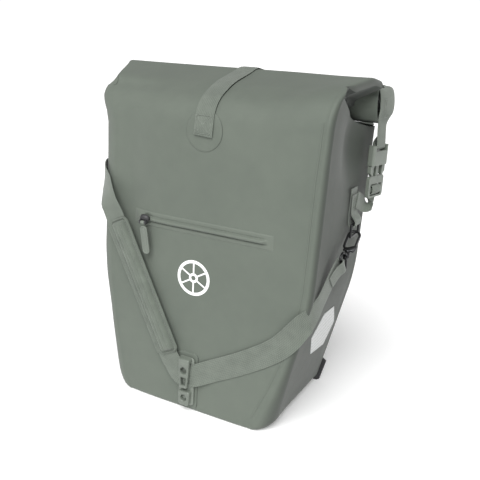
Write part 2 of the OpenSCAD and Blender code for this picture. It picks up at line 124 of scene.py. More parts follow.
def curve_through(points, step):
    """Points at even steps along a smooth curve through the given ones."""
    p = np.asarray(points, float)
    ends = np.vstack([2 * p[0] - p[1], p, 2 * p[-1] - p[-2]])
    out = []
    for i in range(1, len(ends) - 2):
        a, b, c, d = ends[i - 1:i + 3]
        n = max(2, int(np.linalg.norm(c - b) / step * 2))
        for t in np.linspace(0, 1, n, endpoint=False):
            out.append(0.5 * (2 * b + (c - a) * t + (2 * a - 5 * b + 4 * c - d) * t ** 2
                              + (3 * b - a - 3 * c + d) * t ** 3))
    out.append(p[-1])
    return resample(np.array(out), step)


def resample(points, step):
    gaps = np.linalg.norm(np.diff(points, axis=0), axis=1)
    along = np.concatenate([[0], np.cumsum(gaps)])
    n = max(2, int(round(along[-1] / step)) + 1)
    at = np.linspace(0, along[-1], n)
    return np.stack([np.interp(at, along, points[:, k]) for k in range(points.shape[1])], axis=1)


def lengths(points):
    return np.concatenate([[0], np.cumsum(np.linalg.norm(np.diff(points, axis=0), axis=1))])


# ------------------------------------------------------------------ meshes

def make_object(name, verts, faces, uvs=None, normals=None, material=None):
    """A smooth-shaded object from points in mm; uvs and normals are one per face corner."""
    mesh = bpy.data.meshes.new(name)
    mesh.from_pydata((np.asarray(verts, float) * MM).tolist(), [], faces)
    mesh.shade_smooth()
    if uvs is not None:
        layer = mesh.uv_layers.new(name="Along")
        layer.data.foreach_set("uv", np.asarray(uvs, np.float32).ravel())
    if normals is not None:
        mesh.normals_split_custom_set(np.asarray(normals, float).tolist())
    obj = bpy.data.objects.new(name, mesh)
    bpy.context.scene.collection.objects.link(obj)
    if material is not None:
        mesh.materials.append(material)
    return obj


def grid_normals(points):
    """Normals of a grid of points: rows run up, columns run to the right as seen from outside."""
    up = np.gradient(points, axis=0)
    right = np.gradient(points, axis=1)
    return unit(np.cross(right, up))


def thick_sheet(name, points, normals, thickness, material, uv=None):
    """A closed sheet with the grid as its outer face and a rim all round."""
    rows, cols = points.shape[:2]
    outer = points.reshape(-1, 3)
    flat_n = normals.reshape(-1, 3)
    inner = outer - flat_n * thickness
    inner[:, 2] = np.maximum(inner[:, 2], outer[:, 2].min())
    count = rows * cols
    i, j = np.meshgrid(np.arange(rows - 1), np.arange(cols - 1), indexing="ij")
    a = (i * cols + j).ravel()
    quads = np.stack([a, a + 1, a + cols + 1, a + cols], axis=1)
    faces = [quads, quads[:, ::-1] + count]
    corner_n = [flat_n[quads], -flat_n[quads[:, ::-1]]]
    border = [np.arange(cols), np.arange(rows) * cols + cols - 1,
              (rows - 1) * cols + np.arange(cols)[::-1], np.arange(rows)[::-1] * cols]
    for line in border:
        rim = np.stack([line[:-1] + count, line[1:] + count, line[1:], line[:-1]], axis=1)
        both = np.vstack([outer, inner])
        e1 = both[rim[:, 1]] - both[rim[:, 0]]
        e2 = both[rim[:, 3]] - both[rim[:, 0]]
        n = unit(np.cross(e1, e2))
        faces.append(rim)
        corner_n.append(np.repeat(n[:, None, :], 4, axis=1))
    faces = np.vstack(faces)
    corner_n = np.vstack([c.reshape(-1, 3) for c in corner_n])
    uvs = None
    if uv is not None:
        both_uv = np.vstack([uv.reshape(-1, 2)] * 2)
        uvs = both_uv[faces].reshape(-1, 2) * MM
    return make_object(name, np.vstack([outer, inner]), faces.tolist(), uvs, corner_n, material)


def ribbon(name, centres, across, width, thickness, material):
    """Webbing along a line of centres: a flat woven band with rounded selvedges. UV is in metres."""
    centres = np.asarray(centres, float)
    across = unit(across)
    along = unit(np.gradient(centres, axis=0))
    normal = unit(np.cross(across, along))
    across = unit(np.cross(along, normal))
    width = np.broadcast_to(np.asarray(width, float), len(centres))
    half = np.linspace(-1, 1, 9)
    edge = np.sqrt(np.clip(1 - np.abs(half) ** 7, 0.12, 1))
    loop_q = np.concatenate([half, half[::-1]])
    loop_h = np.concatenate([edge, -edge[::-1]])
    ring = len(loop_q)
    verts = (centres[:, None, :] + across[:, None, :] * (loop_q[None] * width[:, None] / 2)[..., None]
             + normal[:, None, :] * (loop_h * thickness / 2)[None, :, None]).reshape(-1, 3)
    v_at = lengths(centres)
    faces, uvs = [], []
    for i in range(len(centres) - 1):
        for k in range(ring):
            m = (k + 1) % ring
            faces.append((i * ring + k, i * ring + m, (i + 1) * ring + m, (i + 1) * ring + k))
            qa, qb = loop_q[k] * width[i] / 2, loop_q[m] * width[i] / 2
            uvs += [(qa, v_at[i]), (qb, v_at[i]), (qb, v_at[i + 1]), (qa, v_at[i + 1])]
    for i, flip in ((0, True), (len(centres) - 1, False)):
        for k in range(8):
            quad = [i * ring + k, i * ring + k + 1, i * ring + ring - 2 - k, i * ring + ring - 1 - k]
            if not flip:
                quad = quad[::-1]
            faces.append(tuple(quad))
            uvs += [(loop_q[q % ring] * width[i] / 2, v_at[i]) for q in quad]
    obj = make_object(name, verts, faces, np.array(uvs) * MM, None, material)
    obj.data.set_sharp_from_angle(angle=math.radians(50))
    fix_winding(obj)
    return obj


def band(low, high, n, flipped=False):
    """Quads between two rings of n points; low and high are the numbers of the rings' first points."""
    quads = [(low + i, low + (i + 1) % n, high + (i + 1) % n, high + i) for i in range(n)]
    return [(a, d, c, b) for a, b, c, d in quads] if flipped else quads


def fix_winding(obj):
    """Turns every face of a closed mesh outwards."""
    bm = bmesh.new()
    bm.from_mesh(obj.data)
    bmesh.ops.recalc_face_normals(bm, faces=bm.faces)
    bm.to_mesh(obj.data)
    bm.free()


def capsules(name, segments, radius, material):
    """Sewing thread: one short capsule for each pair of end points."""
    verts, faces = [], []
    ring = 6
    for p, q in segments:
        p, q = np.asarray(p, float), np.asarray(q, float)
        d = unit(q - p)
        side = unit(np.cross(d, [0.3, 0.2, 1.0]))
        other = np.cross(d, side)
        start = len(verts)
        stations = ((p - d * radius * 0.9, 0.15), (p - d * radius * 0.3, 0.8), (p + d * radius * 0.5, 1.0),
                    (q - d * radius * 0.5, 1.0), (q + d * radius * 0.3, 0.8), (q + d * radius * 0.9, 0.15))
        for centre, share in stations:
            for k in range(ring):
                t = 2 * np.pi * k / ring
                verts.append(centre + (side * np.cos(t) + other * np.sin(t)) * radius * share)
        for s in range(len(stations) - 1):
            faces += band(start + s * ring, start + (s + 1) * ring, ring)
        faces.append(tuple(start + k for k in range(ring))[::-1])
        last = start + (len(stations) - 1) * ring
        faces.append(tuple(last + k for k in range(ring)))
    obj = make_object(name, verts, faces, None, None, material)
    fix_winding(obj)
    return obj


def stitch_line(points, stitch=2.4, gap=0.9):
    """End points of stitches along a line of 3-D points."""
    points = np.asarray(points, float)
    along = lengths(points)
    n = max(1, int(along[-1] / (stitch + gap)))
    pitch = along[-1] / n
    out = []
    for i in range(n):
        s = i * pitch + gap / 2
        ends = [np.array([np.interp(a, along, points[:, k]) for k in range(3)]) for a in (s, s + pitch - gap)]
        out.append(ends)
    return out


def box_lines(corners, stitch=2.4, gap=0.9):
    """Stitches round a four-cornered box and along both of its diagonals."""
    lines = []
    for first, second in ((0, 1), (1, 2), (2, 3), (3, 0), (0, 2), (1, 3)):
        lines += stitch_line([corners[first], corners[second]], stitch, gap)
    return lines


# ------------------------------------------------------------------ materials

WAVE_PERIOD = 0.314              # a band texture of scale 1 repeats at this distance, in metres


def nodes_of(name):
    material = bpy.data.materials.new(name)
    material.use_nodes = True
    tree = material.node_tree
    shader = tree.nodes["Principled BSDF"]
    return material, tree, shader


def add(tree, kind, **values):
    node = tree.nodes.new(kind)
    for key, value in values.items():
        if hasattr(node, key):
            setattr(node, key, value)
        else:
            node.inputs[key.replace("_", " ")].default_value = value
    return node


def tinted(tree, low, high, factor_socket):
    """A colour between two linear RGB values, by a factor."""
    ramp = tree.nodes.new("ShaderNodeValToRGB")
    ramp.color_ramp.elements[0].position = 0.3
    ramp.color_ramp.elements[1].position = 0.7
    ramp.color_ramp.elements[0].color = (*low, 1)
    ramp.color_ramp.elements[1].color = (*high, 1)
    tree.links.new(factor_socket, ramp.inputs[0])
    return ramp.outputs[0]


def noise_at(tree, coords, scale, detail=3.0, rough=0.55):
    node = add(tree, "ShaderNodeTexNoise", Scale=scale, Detail=detail, Roughness=rough)
    tree.links.new(coords, node.inputs["Vector"])
    return node.outputs["Fac"]


def summed(tree, terms):
    """Weighted sum of several scalar sockets."""
    total = None
    for socket, weight in terms:
        scaled = add(tree, "ShaderNodeMath", operation="MULTIPLY")
        tree.links.new(socket, scaled.inputs[0])
        scaled.inputs[1].default_value = weight
        if total is None:
            total = scaled.outputs[0]
        else:
            both = add(tree, "ShaderNodeMath", operation="ADD")
            tree.links.new(total, both.inputs[0])
            tree.links.new(scaled.outputs[0], both.inputs[1])
            total = both.outputs[0]
    return total


def bumped(tree, shader, height, strength, distance):
    bump = add(tree, "ShaderNodeBump", Strength=strength, Distance=distance)
    tree.links.new(height, bump.inputs["Height"])
    tree.links.new(bump.outputs[0], shader.inputs["Normal"])


def ramp_value(tree, socket, low, high):
    node = add(tree, "ShaderNodeMapRange")
    tree.links.new(socket, node.inputs["Value"])
    node.inputs["To Min"].default_value = low
    node.inputs["To Max"].default_value = high
    return node.outputs[0]


def banded(tree, direction, pitch, distortion=0.0):
    """Stripes with the given pitch in metres."""
    return add(tree, "ShaderNodeTexWave", wave_type="BANDS", bands_direction=direction,
               Scale=WAVE_PERIOD / pitch, Distortion=distortion)


def woven(tree, coords, thread, axis_a="X", axis_b="Y"):
    """Height of a plain weave with threads of the given pitch in metres."""
    waves_out = []
    for axis in (axis_a, axis_b):
        wave = banded(tree, axis, thread)
        tree.links.new(coords, wave.inputs["Vector"])
        waves_out.append(wave.outputs["Fac"])
    both = add(tree, "ShaderNodeMath", operation="MULTIPLY")
    tree.links.new(waves_out[0], both.inputs[0])
    tree.links.new(waves_out[1], both.inputs[1])
    return both.outputs[0]


def coated_fabric(name, low, high, rough=0.62, painted_side_shade=0.50):
    """Matte coated cloth: a faint weave, soft mottling, scuffs in roughness. Faces that look sideways are darkened
    as painted shade, down to the share given last, because the photo's gussets are darker than its front."""
    material, tree, shader = nodes_of(name)
    coords = add(tree, "ShaderNodeTexCoord").outputs["Object"]
    broad = noise_at(tree, coords, 9, 2)
    mid = noise_at(tree, coords, 60, 4)
    fine = noise_at(tree, coords, 1500, 2)
    weave = woven(tree, coords, 0.0011, "X", "Z")
    # Painted shade: the colour is scaled down on faces whose world normal points left or right, whatever the
    # light.
    facing = tree.nodes.new("ShaderNodeSeparateXYZ")
    tree.links.new(add(tree, "ShaderNodeNewGeometry").outputs["Normal"], facing.inputs[0])
    sideways = add(tree, "ShaderNodeMath", operation="ABSOLUTE")
    tree.links.new(facing.outputs["X"], sideways.inputs[0])
    shade = add(tree, "ShaderNodeMapRange", interpolation_type="SMOOTHSTEP")
    tree.links.new(sideways.outputs[0], shade.inputs["Value"])
    shade.inputs["From Min"].default_value = 0.25
    shade.inputs["From Max"].default_value = 0.95
    shade.inputs["To Min"].default_value = 1.0
    shade.inputs["To Max"].default_value = painted_side_shade
    darker = add(tree, "ShaderNodeVectorMath", operation="SCALE")
    tree.links.new(tinted(tree, low, high, summed(tree, [(broad, 0.62), (mid, 0.38)])), darker.inputs[0])
    tree.links.new(shade.outputs[0], darker.inputs["Scale"])
    tree.links.new(darker.outputs[0], shader.inputs["Base Color"])
    tree.links.new(ramp_value(tree, mid, rough - 0.09, rough + 0.1), shader.inputs["Roughness"])
    shader.inputs["Specular IOR Level"].default_value = 0.2
    shader.inputs["Sheen Weight"].default_value = 0.12
    shader.inputs["Sheen Roughness"].default_value = 0.5
    bumped(tree, shader, summed(tree, [(mid, 1.0), (fine, 0.12), (weave, 0.10)]), 0.22, 0.0007)
    return material


def web_fabric(name, low, high, rough=0.8):
    """Woven webbing: ribs across the band and rows of warp threads along it, from the band's own UV."""
    material, tree, shader = nodes_of(name)
    coords = add(tree, "ShaderNodeTexCoord")
    ribs = banded(tree, "Y", 0.0014, 1.1)
    ribs.inputs["Detail"].default_value = 1.0
    rows = banded(tree, "X", 0.0022, 0.3)
    twill = banded(tree, "DIAGONAL", 0.0016, 0.4)
    for node in (ribs, rows, twill):
        tree.links.new(coords.outputs["UV"], node.inputs["Vector"])
    mottle = noise_at(tree, coords.outputs["Object"], 70, 3)
    height = summed(tree, [(ribs.outputs["Fac"], 0.45), (rows.outputs["Fac"], 0.5),
                           (twill.outputs["Fac"], 0.35)])
    colour = tinted(tree, low, high, summed(tree, [(height, 0.42), (mottle, 0.5)]))
    tree.links.new(colour, shader.inputs["Base Color"])
    tree.links.new(ramp_value(tree, mottle, rough - 0.08, rough + 0.08), shader.inputs["Roughness"])
    shader.inputs["Specular IOR Level"].default_value = 0.25
    shader.inputs["Sheen Weight"].default_value = 0.25
    bumped(tree, shader, height, 0.55, 0.0005)
    return material


def cloth_fabric(name, low, high, thread=0.0009, rough=0.85):
    """Plain woven cloth whose weave follows the object's own space."""
    material, tree, shader = nodes_of(name)
    coords = add(tree, "ShaderNodeTexCoord").outputs["Object"]
    weave = woven(tree, coords, thread, "X", "Z")
    mottle = noise_at(tree, coords, 55, 4)
    colour = tinted(tree, low, high, summed(tree, [(weave, 0.3), (mottle, 0.75)]))
    tree.links.new(colour, shader.inputs["Base Color"])
    tree.links.new(ramp_value(tree, mottle, rough - 0.08, rough + 0.06), shader.inputs["Roughness"])
    shader.inputs["Specular IOR Level"].default_value = 0.25
    shader.inputs["Sheen Weight"].default_value = 0.22
    bumped(tree, shader, summed(tree, [(weave, 0.5), (mottle, 0.6)]), 0.4, 0.0005)
    return material


def moulded(name, low, high, rough=0.42, metallic=0.0, grain=900.0, wear=0.35):
    """Moulded plastic or coated metal: fine grain, faint flow marks, edges worn a little lighter."""
    material, tree, shader = nodes_of(name)
    coords = add(tree, "ShaderNodeTexCoord").outputs["Object"]
    geometry = add(tree, "ShaderNodeNewGeometry")
    broad = noise_at(tree, coords, 40, 3)
    fine = noise_at(tree, coords, grain, 2)
    worn = add(tree, "ShaderNodeMapRange")
    tree.links.new(geometry.outputs["Pointiness"], worn.inputs["Value"])
    worn.inputs["From Min"].default_value = 0.5
    worn.inputs["From Max"].default_value = 0.6
    factor = summed(tree, [(broad, 0.75), (worn.outputs[0], wear)])
    tree.links.new(tinted(tree, low, high, factor), shader.inputs["Base Color"])
    tree.links.new(ramp_value(tree, broad, rough - 0.08, rough + 0.1), shader.inputs["Roughness"])
    shader.inputs["Metallic"].default_value = metallic
    bumped(tree, shader, summed(tree, [(fine, 0.6), (broad, 0.3)]), 0.12, 0.0004)
    return material


def prism_film(name):
    """Reflective film: a fine grid of cells under a clear skin."""
    material, tree, shader = nodes_of(name)
    coords = add(tree, "ShaderNodeTexCoord").outputs["Object"]
    cells = add(tree, "ShaderNodeTexVoronoi", feature="F1", Scale=620.0, Randomness=0.15)
    tree.links.new(coords, cells.inputs["Vector"])
    stripes = banded(tree, "Z", 0.0045)
    tree.links.new(coords, stripes.inputs["Vector"])
    factor = summed(tree, [(cells.outputs["Distance"], 0.75), (stripes.outputs["Fac"], 0.25)])
    colour = tinted(tree, (0.36, 0.375, 0.37), (0.50, 0.515, 0.505), factor)
    tree.links.new(colour, shader.inputs["Base Color"])
    tree.links.new(ramp_value(tree, cells.outputs["Distance"], 0.22, 0.42), shader.inputs["Roughness"])
    shader.inputs["Coat Weight"].default_value = 0.4
    bumped(tree, shader, cells.outputs["Distance"], 0.3, 0.0003)
    return material


MATERIALS = {
    "tpu_fabric": coated_fabric("coated_sage", (0.101, 0.117, 0.098), (0.120, 0.138, 0.115)),
    "welt": coated_fabric("coated_sage_welt", (0.112, 0.129, 0.108), (0.132, 0.150, 0.126), 0.44),
    # A much darker copy of the coated cloth, used as painted shade on the right tuck.
    "tpu_inside": coated_fabric("coated_sage_painted_shade", (0.042, 0.048, 0.042), (0.056, 0.064, 0.055), 0.8),
    "webbing": web_fabric("webbing_sage", (0.094, 0.110, 0.091), (0.148, 0.168, 0.142)),
    "pad_fabric": cloth_fabric("pad_cloth", (0.098, 0.114, 0.094), (0.140, 0.160, 0.134)),
    "lining": cloth_fabric("pocket_lining", (0.09, 0.10, 0.09), (0.14, 0.155, 0.14), 0.0007),
    "zip_tape": cloth_fabric("zip_cloth", (0.11, 0.125, 0.11), (0.16, 0.18, 0.155), 0.0008),
    "board": moulded("board_grey", (0.055, 0.058, 0.06), (0.085, 0.088, 0.09), 0.65),
    "black_plastic": moulded("plastic_black", (0.012, 0.012, 0.013), (0.035, 0.035, 0.037), 0.48),
    "sage_plastic": moulded("plastic_sage", (0.098, 0.113, 0.095), (0.150, 0.170, 0.144), 0.34),
    "black_metal": moulded("metal_black", (0.018, 0.019, 0.020), (0.055, 0.056, 0.058), 0.33, 0.75, 700.0),
    "steel": moulded("metal_steel", (0.42, 0.43, 0.44), (0.58, 0.59, 0.60), 0.30, 1.0, 500.0),
    "reflective": prism_film("reflective_film"),
    "rubber": moulded("rubber_sage", (0.120, 0.138, 0.116), (0.158, 0.178, 0.152), 0.58, 0.0, 1400.0),
    "thread": cloth_fabric("sewing_thread", (0.145, 0.165, 0.14), (0.20, 0.222, 0.192), 0.0004),
    "print": moulded("print_white", (0.82, 0.83, 0.82), (0.90, 0.91, 0.90), 0.55, 0.0, 1200.0, 0.0),
}


def finish_piece(obj, body=None, stands_for=(), blend=None):
    """Rides the named body, or, when blend is given, stays where it is; hides the CAD nodes it stands for."""
    if blend:
        [tuple(np.array(p) * MM) for p in blend]
        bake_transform(obj)
    else:
        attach(obj, body)
    if stands_for:
        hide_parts(*stands_for)
    return obj


# ------------------------------------------------------------------ the bag's wall

# Profiles of the front from the floor to where the roll starts: (distance back, height)
RISE = [(FRONT, 366), (FRONT + 0.6, 382)]
LOW_TOP = RISE + [(-85.4, 395), (-78.6, 407), (-67, 416.5), (-39, 431), (0, 441.5), (20, 446), (37, 442.6)]
HIGH_TOP = RISE + [(-86.3, 398), (-80.5, 412), (-72, 422.5), (-59, 430.5), (-43, 435.6), (-20, 439.6),
                   (0, 442.6), (20, 445.2), (37, 442.4)]
LOW_FOLD_AT = 4                   # the profile points where the side folds begin
HIGH_FOLD_AT = 6
LOW_LINE = curve_through(LOW_TOP, 1.0)
HIGH_LINE = curve_through(HIGH_TOP, 1.0)


def nearest(line, point):
    return int(np.argmin(np.linalg.norm(line - np.array(point), axis=1)))


LOW_FOLD = nearest(LOW_LINE, LOW_TOP[LOW_FOLD_AT])
HIGH_FOLD = nearest(HIGH_LINE, HIGH_TOP[HIGH_FOLD_AT])


def spread(line, first, last, n):
    """n points at even steps along part of a profile."""
    part = line[first:last + 1]
    at = np.linspace(0, 1, n)
    along = lengths(part) / lengths(part)[-1]
    return np.stack([np.interp(at, along, part[:, k]) for k in range(2)], axis=1)


BASE_ROWS = np.concatenate([[0, 0.6, 1.6, 3.2, 5.5, 8.5, 12.5, 17.5], np.arange(23, 366, 4.4), [366]])
N_TURN = 22                       # rows from the straight front to the fold
N_COVER = 34                      # rows from the fold to the roll
BASE_LINE = np.stack([np.full(len(BASE_ROWS), FRONT), BASE_ROWS], axis=1)
LOW_ROWS = np.vstack([BASE_LINE, spread(LOW_LINE, 0, LOW_FOLD, N_TURN)[1:],
                      spread(LOW_LINE, LOW_FOLD, len(LOW_LINE) - 1, N_COVER)[1:]])
HIGH_ROWS = np.vstack([BASE_LINE, spread(HIGH_LINE, 0, HIGH_FOLD, N_TURN)[1:],
                       spread(HIGH_LINE, HIGH_FOLD, len(HIGH_LINE) - 1, N_COVER)[1:]])
FOLD_ROW = len(BASE_LINE) + N_TURN - 2
LEFT_TOP_Z = LOW_ROWS[FOLD_ROW][1]
RIGHT_TOP_Z = HIGH_ROWS[FOLD_ROW][1]

# Radii of the front corners, and how far the soft left side bulges, by height
HEIGHTS = [0, 20, 40, 60, 90, 120, 150, 185, 220, 260, 300, 340, 370, 385, 404, 432]
CORNER_LEFT = [24, 24, 22, 20, 18, 17, 19, 24, 24, 23, 25, 29, 32, 30, 22, 17]
CORNER_RIGHT = [27, 25, 21, 17, 13, 11, 10, 9, 9, 9, 9, 9, 8, 8, 8, 7]
BULGE_LEFT = [13, 17, 15, 12, 8, 4, 2.5, 2.5, 2, 1.5, 0.5, 0, 0, 1.5, 6, 9]


def straight_half_width(z):
    return np.where(z < BEND_Z, BASE_W + (BEND_W - BASE_W) * z / BEND_Z,
                    BEND_W + (SHOULDER_W - BEND_W) * (z - BEND_Z) / (SHOULDER_Z - BEND_Z))


def half_width(z, side):
    """Half width of the bag, with the bend in the gusset rounded off."""
    total = sum(straight_half_width(z + d) for d in (-24, -12, 0, 12, 24)) / 5
    total = mix(straight_half_width(z), total, smooth(z / 40))
    return total + (np.interp(z, HEIGHTS, BULGE_LEFT) if side < 0 else 0)


def corner_radius(z, side):
    return np.interp(z, HEIGHTS, CORNER_LEFT if side < 0 else CORNER_RIGHT)


# The cover's left edge, from the fold out to the end of the crest
LEFT_EDGE_Z = [408, 418, 426, 431.5, 437, 441.5, 446]
LEFT_EDGE_X = [147, 149, 153, 157, 163, 171, 179]

FLOOR_FRONT = 5.0                 # radius of the bag's bottom edge at the front and back
FLOOR_SIDE = 20.0                 # and at the sides


def tuck_in(z, radius):
    """How far the wall curves in just above the floor."""
    d = np.clip(radius - z, 0, radius)
    return radius - np.sqrt(radius ** 2 - d ** 2)


def front_back(x, z):
    """Distance back of the front face at a place on it: the profile, the crown and a few soft dents."""
    y = np.interp(z, HIGH_ROWS[:FOLD_ROW + 1, 1], HIGH_ROWS[:FOLD_ROW + 1, 0])
    low = np.interp(z, LOW_ROWS[:FOLD_ROW + 1, 1], LOW_ROWS[:FOLD_ROW + 1, 0])
    return mix(low, y, right_share(x)) + crown(x, z)


def right_share(x):
    """0 on most of the front, 1 at its right end, where the closure stands higher."""
    return smooth((x - 60) / 90)


def crown(x, z):
    """How far the front face lies behind its foremost plane."""
    edge = np.abs(x) / np.interp(z, [0, BEND_Z, 440], [BASE_W, BEND_W, SHOULDER_W])
    points = np.stack([x, 0 * x, z], axis=-1)
    soft = 0.5 + 0.5 * waves(points, 95, 4)
    sag = 1.6 * np.exp(-((z - 132) / 60) ** 2) * np.exp(-((x - 62) / 52) ** 2)
    pull = 2.6 * np.exp(-((x + 108) / 30) ** 2 - ((z - 300) / 70) ** 2)
    fall = 7.5 * smooth((-x - 35) / 80) ** 2 * smooth((z - 150) / 150)
    return 2.6 * np.clip(edge, 0, 1) ** 4 + 0.75 * np.clip(soft, 0, 1.4) + sag + pull + fall


def side_dent(y, z, side):
    """How far the gusset is drawn in: under the fold, round the bend and in a few soft folds."""
    under_fold = (14 if side > 0 else 9) * np.exp(-((y - 12) / 42) ** 2 - ((z - 372) / 52) ** 2)
    bend = 2.2 * np.exp(-((z - BEND_Z - 22) / 26) ** 2) * np.exp(-((y - 5) / 60) ** 2)
    points = np.stack([0 * y, y, z], axis=-1)
    soft = 0.9 * (0.5 + 0.5 * waves(points, 80, 11 + side))
    edge = 1.8 * np.exp(-((y - REAR) / 16) ** 2)
    return under_fold + bend + np.clip(soft, 0, 2) + edge


REAR_R = 9.0                      # radius of the rear corners
CORNER_SHARE = 0.3                # where the front corner ends, on the way from front seam to rear seam
STRAIGHT_SHARE = 0.92             # and where the rear corner begins


def wall_point(z, a, side):
    """A point of the wall at height z; a runs 0 to 1 from the front seam round the corner to the rear panel.
    Both are arrays of one shape."""
    w = half_width(z, side)
    r = corner_radius(z, side)
    rows = HIGH_ROWS if side > 0 else LOW_ROWS
    front = np.interp(z, rows[:FOLD_ROW + 1, 1], rows[:FOLD_ROW + 1, 0])
    x_seam = w - r
    front = front + crown(side * x_seam, z)
    t = np.clip(a / CORNER_SHARE, 0, 1)
    angle = t * np.pi / 2
    x = x_seam + r * np.sin(angle)
    y = front + r - r * np.cos(angle)
    s = np.clip((a - CORNER_SHARE) / (STRAIGHT_SHARE - CORNER_SHARE), 0, 1)
    y_side = mix(front + r, REAR - REAR_R, s)
    q = np.clip((a - STRAIGHT_SHARE) / (1 - STRAIGHT_SHARE), 0, 1) * np.pi / 2
    on_side = a > CORNER_SHARE
    y = np.where(on_side, y_side + REAR_R * np.sin(q), y)
    x = np.where(on_side, w - REAR_R + REAR_R * np.cos(q), x)
    drawn = side_dent(y, z, side) * smooth((a - 0.16) / 0.3) * (1 - smooth((a - 0.86) / 0.1))
    floor_r = mix(FLOOR_FRONT, FLOOR_SIDE, smooth(a / 0.3) * (1 - smooth((a - 0.9) / 0.1)))
    nx = np.where(on_side, np.cos(q), np.sin(angle))
    ny = np.where(on_side, np.sin(q), -np.cos(angle))
    inset = tuck_in(z, floor_r)
    lap = -0.55 * smooth((a - 0.004) / 0.01) * (1 - smooth((a - 0.2) / 0.2))
    x = x - nx * (inset + drawn + lap)
    y = y - ny * (inset + drawn + lap)
    return np.stack([side * x, y, z], axis=-1)


# Gusset grids: columns run back from the seam, rows up from the floor to the fold edge
SIDE_A = np.concatenate([np.linspace(0, CORNER_SHARE, 20),
                         np.linspace(CORNER_SHARE, STRAIGHT_SHARE, 38)[1:],
                         np.linspace(STRAIGHT_SHARE, 1, 8)[1:]])


def gusset_grid(side):
    top_front = RIGHT_TOP_Z if side > 0 else LEFT_TOP_Z
    back = np.clip((SIDE_A - 0.12) / 0.76, 0, 1)
    drop = smooth(back) * 0.35 + back * 0.65
    tops = mix(top_front, REAR_TOP, drop)
    rows = (LOW_ROWS if side < 0 else HIGH_ROWS)[:FOLD_ROW + 1, 1]
    share = rows / rows[-1]
    z = share[:, None] * tops[None, :]
    # Near the floor every column keeps the same heights, so that the bottom edge is even
    keep = smooth(1 - share / 0.2)[:, None]
    z = mix(z, rows[:, None] + 0 * z, keep)
    a = np.broadcast_to(SIDE_A, z.shape)
    return wall_point(z, a, side)


def front_grid():
    """The front and the cover as one grid: rows from floor to roll, columns from left seam to right."""
    cols = 97
    u = np.linspace(-1, 1, cols)
    rows = len(LOW_ROWS)
    z_low, z_high = LOW_ROWS[:, 1], HIGH_ROWS[:, 1]
    out = np.zeros((rows, cols, 3))
    left_seam = half_width(z_low, -1) - corner_radius(z_low, -1)
    right_seam = half_width(z_high, 1) - corner_radius(z_high, 1)
    cover = np.clip((np.arange(rows) - FOLD_ROW) / (rows - 1 - FOLD_ROW), 0, 1)
    above = cover > 0
    left_end = left_seam[FOLD_ROW]
    right_end = right_seam[FOLD_ROW]
    left_edge = np.interp(z_low, LEFT_EDGE_Z, LEFT_EDGE_X)
    left_seam = np.where(above, mix(left_end, left_edge, smooth(cover / 0.22)), left_seam)
    right_seam = np.where(above, mix(right_end, CREST_W - 5, cover ** 1.5), right_seam)
    for i in range(rows):
        x = np.where(u < 0, -left_seam[i] * np.abs(u), right_seam[i] * u)
        s = right_share(x)
        y = mix(LOW_ROWS[i, 0], HIGH_ROWS[i, 0], s)
        z = mix(LOW_ROWS[i, 1], HIGH_ROWS[i, 1], s)
        back = crown(x, np.full_like(x, min(z.mean(), 440)))
        inset = tuck_in(z, FLOOR_FRONT)
        fade = 1 - 0.55 * cover[i]
        if i <= FOLD_ROW:
            y = y + back + inset
        else:
            y = y + back * (1 - smooth(cover[i] * 4))
        sag = 2.4 * np.sin(np.pi * cover[i]) * (1 - np.abs(u) ** 3) * fade
        out[i] = np.stack([x, y, z - sag], axis=-1)
    return out


FRONT_GRID = front_grid()
SIDE_GRIDS = {side: gusset_grid(side) for side in (-1, 1)}


def whole_normals():
    """Normals of the front and both gussets from one joined grid, so shading runs on across the seams."""
    low = FOLD_ROW + 1
    left = SIDE_GRIDS[-1][:, ::-1][:, :-1]
    right = SIDE_GRIDS[1][:, 1:]
    joined = np.concatenate([left, FRONT_GRID[:low], right], axis=1)
    n = grid_normals(joined)
    cut = left.shape[1]
    cols = FRONT_GRID.shape[1]
    front = grid_normals(FRONT_GRID)
    front[:low, 0] = n[:, cut]
    front[:low, -1] = n[:, cut + cols - 1]
    left_n = np.concatenate([n[:, :cut], n[:, cut:cut + 1]], axis=1)
    right_n = np.concatenate([n[:, cut + cols - 1:cut + cols], n[:, cut + cols:]], axis=1)
    return front, left_n, right_n


FRONT_N, LEFT_N, RIGHT_N = whole_normals()


def front_point(x, z, out=0.0):
    """A point on the front face, out mm in front of it."""
    x, z = np.asarray(x, float), np.asarray(z, float)
    x, z = np.broadcast_arrays(x, z)
    return np.stack([x, front_back(x, z) - out, z], axis=-1)


# Two places, at the shoulder and the crest, handed to the pieces of cloth that lie between them
BLEND = ((0, 0, 398), (0, 0, 441))


def build_shell():
    """The front and both gussets."""
    fabric = MATERIALS["tpu_fabric"]
    split = FOLD_ROW + 1
    front = thick_sheet("front_skin", FRONT_GRID[:split], FRONT_N[:split], SKIN, fabric)
    finish_piece(front, None, ["front_panel"], BLEND)
    left = thick_sheet("gusset_skin_left", SIDE_GRIDS[-1][:, ::-1], LEFT_N, SKIN, fabric)
    finish_piece(left, None, ["gusset_left"], BLEND)
    right = thick_sheet("gusset_skin_right", SIDE_GRIDS[1], RIGHT_N, SKIN, fabric)
    finish_piece(right, None, ["gusset_right"], BLEND)


